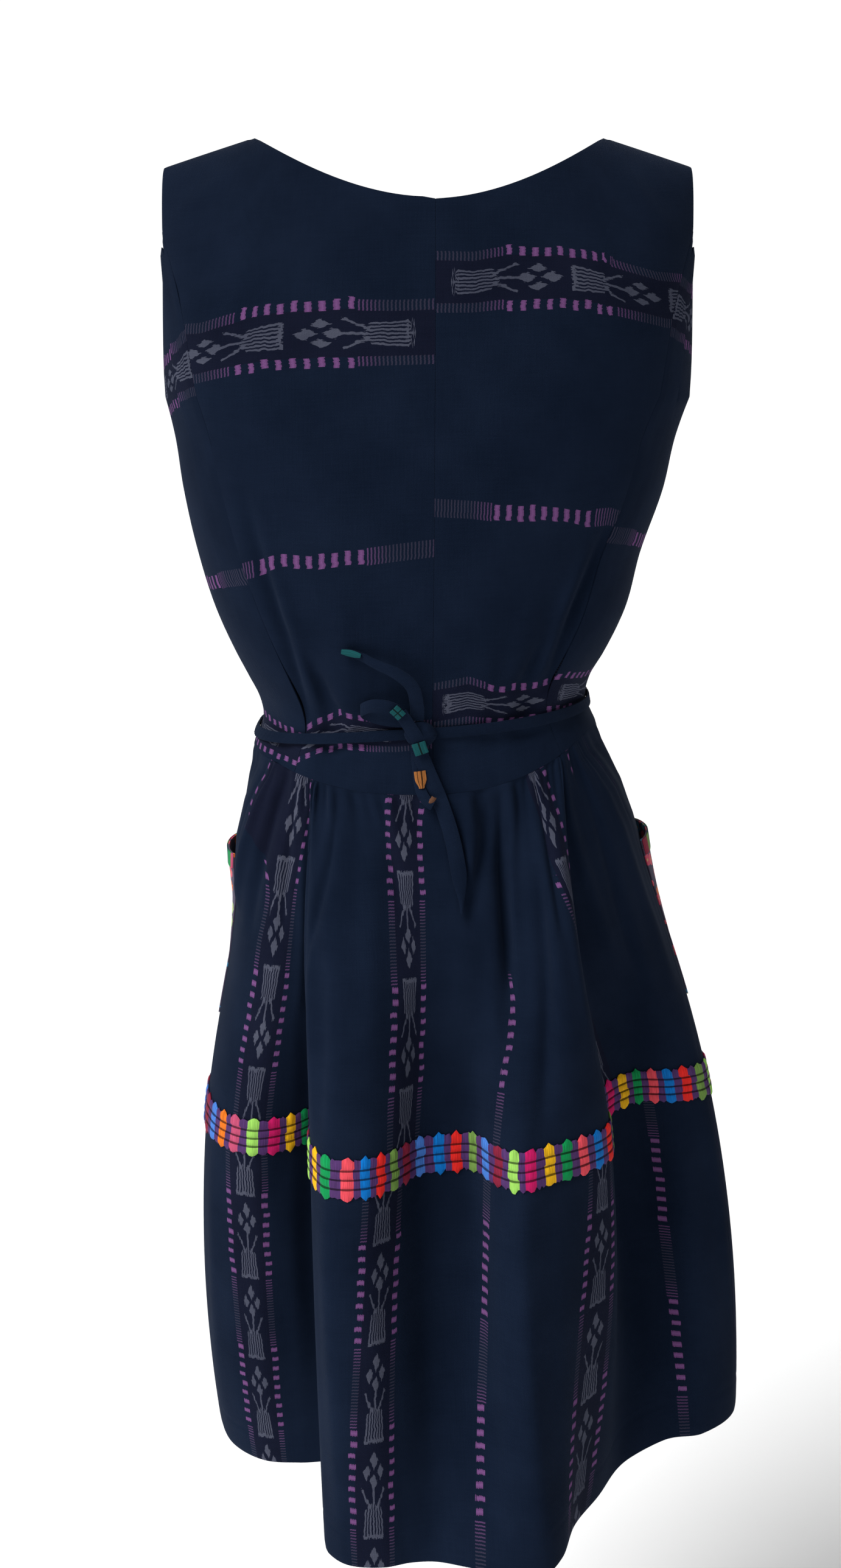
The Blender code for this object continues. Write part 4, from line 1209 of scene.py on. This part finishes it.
def skirt_relief(s, down):
    """Fine gathers under the waist seam, the soft creases and the hem's stitched line."""
    share = np.clip(down / FINE_GATHER_LENGTH, 0, 1)
    wave = np.sin(2 * math.pi * FINE_GATHERS * s / CLOTH_HALF + 3 * np.sin(40 * s))
    gathers = FINE_GATHER_DEPTH * wave * np.sin(math.pi * share**0.5) * (1 - share)
    gathers *= np.abs(np.sin(math.pi * s / CLOTH_HALF)) ** 0.5
    stitch = -HEM_STITCH_SINK * np.exp(-(((down - HEM_STITCH) / HEM_STITCH_HALF) ** 2))
    return gathers + soften(crease_height(s, down, SKIRT_CREASES)) + stitch


def skirt_panel(part, side, places, outward):
    downs, rows, levels, figures, runs, flat, area, held = SKIRT_PARTS[part]
    s, down = np.meshgrid(places, downs, indexing="ij")
    points = skirt_point(s, down)
    relief = skirt_relief(s, down) + edge_turn(points, *SKIRT_TURN)
    pattern = skirt_pattern(places, downs, rows, levels, figures, runs)
    moved = points + grid_normals(points, outward) * relief[:, :, None]
    uv = np.stack([s, -down], axis=2)
    piece = cover(f"skirt_{part}_{side}", "indigo_cotton", moved, CLOTH, indigo, uv, pattern)


def bar_columns(colours, centres, low, high):
    """Columns of the joining band: place along the cloth, colour of the strip after it, crown, tip."""
    columns = []
    edges = np.concatenate([[low], (centres[1:] + centres[:-1]) / 2, [high]])
    for colour, centre, first, last in zip(colours, centres, edges, edges[1:]):
        half = (last - first) * BAR_SHARE / 2
        left, right = max(centre - half, first), min(centre + half, last)
        columns += [
            (first, "aubergine", 0.0, RANDA_NOTCH_TIP),
            ((first + left) / 2, "aubergine", 0.4, RANDA_NOTCH_TIP * 0.6),
            (left, colour, 0.0, 0.0),
            (left + half * 0.45, colour, 0.8, RANDA_TIP * 0.45),
            (centre, colour, 1.0, RANDA_TIP),
            (right - half * 0.45, colour, 0.8, RANDA_TIP * 0.45),
            (right, "aubergine", 0.0, 0.0),
            ((last + right) / 2, "aubergine", 0.4, RANDA_NOTCH_TIP * 0.6),
        ]
    return [*columns, (high, "aubergine", 0.0, RANDA_NOTCH_TIP)]


def joining_band(node, colours, centres, start, seed):
    """The satin-stitched band: coloured bars, pointed at both edges, tied down in four rows."""
    columns = bar_columns(colours, centres, start + RANDA_END, start + CLOTH_HALF - RANDA_END)
    rows = ROWS_A_COURSE * COURSES
    rng = np.random.default_rng(seed)
    jog = rng.normal(0, RANDA_JOG, (len(colours), COURSES))
    uneven = rng.normal(0, RANDA_UNEVEN, (len(columns), 2))
    middle = LEVELS[2]
    along, down, out = np.zeros((3, len(columns), rows + 1))
    for i, (s, _colour, crown, tip) in enumerate(columns):
        bar = min(i // COLUMNS_A_BAR, len(colours) - 1)
        inside = 0 < i < len(columns) - 1
        top = middle - RANDA_HALF - tip + uneven[i, 0] * inside
        bottom = middle + RANDA_HALF + tip + uneven[i, 1] * inside
        on_bar = inside and i % COLUMNS_A_BAR in COLOURED_COLUMNS
        for j in range(rows + 1):
            course = min(j // ROWS_A_COURSE, COURSES - 1)
            reach = 2 * j / rows - 1
            edge = abs(reach) ** 6
            end = top if j < rows / 2 else bottom
            down[i, j] = middle + reach * RANDA_HALF * (1 - edge) + (end - middle) * edge
            along[i, j] = s + (jog[bar, course] if on_bar else 0.0)
            pillow = math.sin(math.pi * (j - course * ROWS_A_COURSE) / ROWS_A_COURSE) ** 0.5
            out[i, j] = RANDA_OUT + (STITCH_RISE + CROWN_RISE * crown) * pillow
    normal = skirt_normal(np.array([column[0] for column in columns]), middle)
    points = skirt_point(along, down) + normal[:, None, :] * out[:, :, None]

    def thread(i, j):
        tied = j % ROWS_A_COURSE == 0 and 0 < j < rows
        return [part * (TIED_DOWN_SHADE if tied else 1.0) for part in THREADS[columns[i][1]]]

    uv = np.stack([along, -down], axis=2)
    cover(node, "randa_thread", points, STITCHED, stitching, uv, thread=thread)


def pocket(side, start):
    """A patch pocket beside a side seam, its mouth standing open, with a stitched trim."""

    def place(columns, rows, reach, out):
        q, r = np.meshgrid(np.linspace(0, 1, columns), np.linspace(0, reach, rows), indexing="ij")
        s = start + POCKET_WIDTH * q
        down = POCKET_TOP + POCKET_HEIGHT * r
        mouth = POCKET_GAPES * np.maximum(1 - 1.5 * r, 0) ** 1.1
        body = POCKET_FILLED * np.sin(math.pi * r) * (1 - r)
        bulge = POCKET_BULGE * np.sin(math.pi * q) ** 0.7 * (mouth + body)
        points = skirt_point(s, down) + skirt_normal(s, down) * (POCKET_OUT + bulge + out)[..., None]
        return points, np.stack([q * POCKET_WIDTH + start, -r * POCKET_HEIGHT], axis=2)

    def thread(i, _j):
        return THREADS[TRIM_COLOURS[(i // 3) % len(TRIM_COLOURS)]]

    points, uv = place(27, 27, 1, 0.0)
    piece = cover(f"pocket_{side}", "pocket_cloth", points, CLOTH, flowers, uv)
    points, uv = place(53, 7, TRIM_HEIGHT / POCKET_HEIGHT, TRIM_OUT)
    cover(f"pocket_trim_{side}", "pocket_trim", points, STITCHED, stitching, uv, thread=thread)


# The tie


def tie_z(deg):
    return TIE_Z_CENTRE - TIE_TILT * np.sin(np.radians(deg))


def bodice_y(x, z):
    """How far back the bodice lies at these places on the back."""
    left, right, back, _front = section(z)
    share = np.abs(x) / np.where(x > 0, left, right)
    return back * (1 - np.minimum(share, 1) ** SECTION_POWER) ** (1 / SECTION_POWER) - fold_depth(x, z)


def skirt_y(x, z):
    """How far back the skirt lies at these places, found by a few Newton steps on the surface."""
    s, down = np.full(x.shape, 0.33), np.full(x.shape, 0.05)
    step = 0.002
    for _pass in range(8):
        here = skirt_point(s, down)
        by_s = (skirt_point(s + step, down) - here) / step
        by_down = (skirt_point(s, down + step) - here) / step
        off_x, off_z = x - here[..., 0], z - here[..., 2]
        whole = by_s[..., 0] * by_down[..., 2] - by_down[..., 0] * by_s[..., 2]
        s = s + (off_x * by_down[..., 2] - by_down[..., 0] * off_z) / whole
        down = np.maximum(down + (by_s[..., 0] * off_z - off_x * by_s[..., 2]) / whole, step)
    return skirt_point(s, down)[..., 1]


def cloth_y(x, z):
    return np.where(z < TIE_CROSSES_SEAM_Z, skirt_y(x, z), bodice_y(x, z))


def strip_uv(points):
    u, v = lengths_of(points)
    return np.stack([v, -u], axis=2)


def strap(node, side):
    """One waist strap, lying on the bodice from its front side seam to the knot."""
    from_deg = side * FRONT_SEAM_DEG
    knot_edge = KNOT_X + side * STRAP_END_X
    share = abs(knot_edge) / section(TIE_Z_CENTRE)[0 if knot_edge > 0 else 1]
    to_deg = math.copysign(math.degrees(math.asin(share ** (SECTION_POWER / 2))), knot_edge)
    i, j = np.meshgrid(np.arange(STRAP_STEPS + 1), np.arange(STRAP_COLUMNS + 1), indexing="ij")
    deg = from_deg + (to_deg - from_deg) * i / STRAP_STEPS
    edge = 0.5 - j / STRAP_COLUMNS
    points = ring_point(deg, tie_z(deg) + edge * STRAP_WIDTH)
    crown = STRAP_CROWN * (1 - (2 * edge) ** 2) - CROWN_SINK
    crown += STRAP_RIPPLE * np.sin(i * 1.9 + j * 0.8)
    points += outwards(points) * (STRAP_OUT + crown)[:, :, None]
    piece = cover(node, "tie_cotton", points, STRAP_CLOTH, plain, strip_uv(points))
    length = round(float(lengths_of(points)[0][-1, STRAP_COLUMNS // 2]), 3)


def tie_strip(route, upright=False, width=TIE_WIDTH, steps=56, across=8, shape=None):
    """Points of a flat strip on its route, its width across the run, or upright as in the loop."""
    route = metres(route)
    knots = np.concatenate([[0], np.cumsum(np.linalg.norm(np.diff(route[:, :2], axis=0), axis=1))])
    line = smooth_curve(knots, route, knots[-1] * np.linspace(0, 1, steps + 1))
    run = np.gradient(line[:, :2], axis=0)
    if upright:
        turn = np.broadcast_to((0.0, 1.0), run.shape)
    else:
        turn = np.stack([-run[:, 1], run[:, 0]], axis=1) / np.linalg.norm(run, axis=1, keepdims=True)
    wide = width * np.array([shape(i / steps) if shape else 1.0 for i in range(steps + 1)])
    edge = 0.5 - np.arange(across + 1) / across
    place = line[:, None, :2] + turn[:, None, :] * (edge[None, :] * wide[:, None])[:, :, None]
    crown = TIE_CROWN * (1 - (2 * edge) ** 2) - CROWN_SINK
    y = cloth_y(place[..., 0], place[..., 1]) + line[:, None, 2] + crown[None, :]
    return np.stack([place[..., 0], y, place[..., 1]], axis=2)


def narrowing(width, by=0.0, start=0.0):
    """How wide a strip is along its run, narrower by this much from the start share to its end."""
    return lambda t: width - by * float(ease((t - start) / (1 - start)))


def tie_end(node, upright=False, shape=None):
    points = tie_strip(TIE_ENDS[node], upright, shape=shape)
    piece = cover(node, "tie_cotton", points, STRAP_CLOTH, plain, strip_uv(points))


def stitched_patch(name, route, width, colour, shape=None, slits=()):
    """A patch of satin stitch over the tie, with dark lines where the threads part."""
    steps, across = 24, 16
    points = tie_strip(route, False, width, steps, across, shape)

    def thread(i, j):
        along, aside = (i + 0.5) / steps, (j + 0.5) / across
        dark = any(abs(along - a) < SLIT_HALVES[0] or abs(aside - b) < SLIT_HALVES[1] for a, b in slits)
        return [part * (SLIT_SHADE if dark else 1.0) for part in THREADS[colour]]

    cloth(name, "tie_cotton", points, PATCH_STITCHED, stitching, strip_uv(points), thread=thread)


def knot():
    """The tied knot: a soft pressed lump, creased where the strands cross."""
    bm = bmesh.new()
    bmesh.ops.create_uvsphere(bm, u_segments=40, v_segments=28, radius=1.0)
    y = float(bodice_y(np.array(KNOT_X), np.array(TIE_Z_CENTRE))) + WALL / 2 + KNOT_SIZE[1]
    for vert in bm.verts:
        x, depth, z = vert.co
        strand = 1 - 0.14 * math.exp(-(((x + 0.5 * z - 0.15) / 0.13) ** 2))
        strand -= 0.12 * math.exp(-(((x - 0.6 * z + 0.45) / 0.12) ** 2))
        strand -= 0.05 * math.cos(9 * z + 3 * x)
        vert.co = (
            KNOT_X + x * KNOT_SIZE[0] * (1 - 0.10 * abs(z)) * (0.9 + 0.1 * strand),
            y + depth * KNOT_SIZE[1] * strand,
            TIE_Z_CENTRE + z * KNOT_SIZE[2] * (0.92 + 0.08 * strand),
        )
    mesh = mesh_of("tie_knot_cloth", bm)
    places = np.array([(vert.co.x, vert.co.z) for vert in mesh.vertices])
    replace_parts(dressed(mesh, plain, places), "tie_knot")


# The dress

bodice_back("back_left", 1)
bodice_back("back_right", -1)
bodice_side("side_left", 1)
bodice_side("side_right", -1)
bodice_front()
for side, across, facing in (
    ("back", np.linspace(0, CLOTH_HALF, 241), (0, 1, 0)),
    ("front", np.linspace(CLOTH_HALF, 2 * CLOTH_HALF, 161), (0, -1, 0)),
):
    skirt_panel("upper", side, across, facing)
    skirt_panel("lower", side, across, facing)

joining_band("randa_back", RANDA_COLOURS, RANDA_PLACES, 0.0, 5)
front_bars = np.arange(RANDA_FRONT_BARS)
front_colours = [RANDA_CYCLE[k % len(RANDA_CYCLE)] for k in front_bars]
front_places = CLOTH_HALF + CLOTH_HALF / RANDA_FRONT_BARS * (front_bars + 0.5)
joining_band("randa_front", front_colours, front_places, CLOTH_HALF, 6)
pocket("right", CLOTH_HALF + POCKET_FROM_SEAM)
pocket("left", 2 * CLOTH_HALF - POCKET_FROM_SEAM - POCKET_WIDTH)

knot()
strap("tie_left", 1)
strap("tie_right", -1)
tie_end("tie_loop", upright=True)
tie_end("tie_end_upper", shape=narrowing(1.0, 0.45, 0.2))
tie_end("tie_end_short", shape=narrowing(0.8))
tie_end("tie_end_long", shape=narrowing(1.15, 0.95, 0.75))
stitched_patch("teal_tip", TEAL_TIP, 0.0046, "teal", lambda t: 0.6 + 0.4 * math.sin(math.pi * t))
stitched_patch("teal_loop_patch", TEAL_LOOP, 0.0076, "teal", None, ((0.5, 0.5),))
stitched_patch("teal_knot_patch", TEAL_KNOT, 0.0098, "teal", None, ((-1, 0.5),))
pointed = narrowing(1.0, 0.55, 0.45)
stitched_patch("orange_patch", ORANGE_PATCH, 0.0082, "amber", pointed, ((-1, 0.28), (-1, 0.62)))
stitched_patch("orange_end", ORANGE_END, 0.0030, "grey_orange")
wrap = tie_strip(KNOT_WRAP, width=0.0092)
cloth("tie_wrap", "tie_cotton", wrap, STRAP_CLOTH, plain, strip_uv(wrap))

# Floor, light and camera


def floor():
    bm = bmesh.new()
    bmesh.ops.create_grid(bm, x_segments=1, y_segments=1, size=FLOOR_HALF)
    bmesh.ops.translate(bm, vec=(0, 0, FLOOR_Z), verts=bm.verts)
    mesh = mesh_of("floor", bm)
    pale = {"Base_Color": (0.95, 0.95, 0.95), "Specular_IOR_Level": 0.0}
    mesh.materials.append(new_material("pale_floor", Roughness=1.0, **pale)[0])
    linked("floor", mesh)


def surroundings():
    """An even pale light all round, brighter where the camera sees it."""
    world = bpy.data.worlds.new("studio")
    world.use_nodes = True
    tree = world.node_tree
    background = tree.nodes["Background"]
    feed(tree, background.inputs["Color"], (1.0, 1.0, 1.0))
    seen = shader_node(tree, "LightPath", {}).outputs["Is Camera Ray"]
    seen = math_node(tree, "MULTIPLY", seen, SEEN_WORLD - WORLD_LIGHT)
    feed(tree, background.inputs["Strength"], math_node(tree, "ADD", seen, WORLD_LIGHT))
    bpy.context.scene.world = world


def lamp(name, kind, place, aim, strength):
    data = bpy.data.lights.new(name, kind)
    data.energy = strength
    light = linked(name, data)
    light.location = place
    light.rotation_euler = (Vector(place) - Vector(aim)).to_track_quat("Z", "Y").to_euler()
    return data


def camera():
    data = bpy.data.cameras.new("photo_view")
    data.lens = CAMERA_LENS
    data.sensor_width = 36.0
    view = linked("photo_view", data)
    view.location = CAMERA_PLACE
    view.rotation_euler = (math.radians(CAMERA_PITCH), 0.0, math.pi)
    bpy.context.scene.camera = view
    bpy.context.scene.view_settings.view_transform = "Standard"


floor()
surroundings()
for name, place, softness, strength in LIGHTS:
    lamp(name, "SUN", place, (0, 0, 0), strength).angle = math.radians(softness)
place, aim, width, strength = LOW_LAMP
lamp("low_lamp", "AREA", place, aim, strength).size = width
camera()
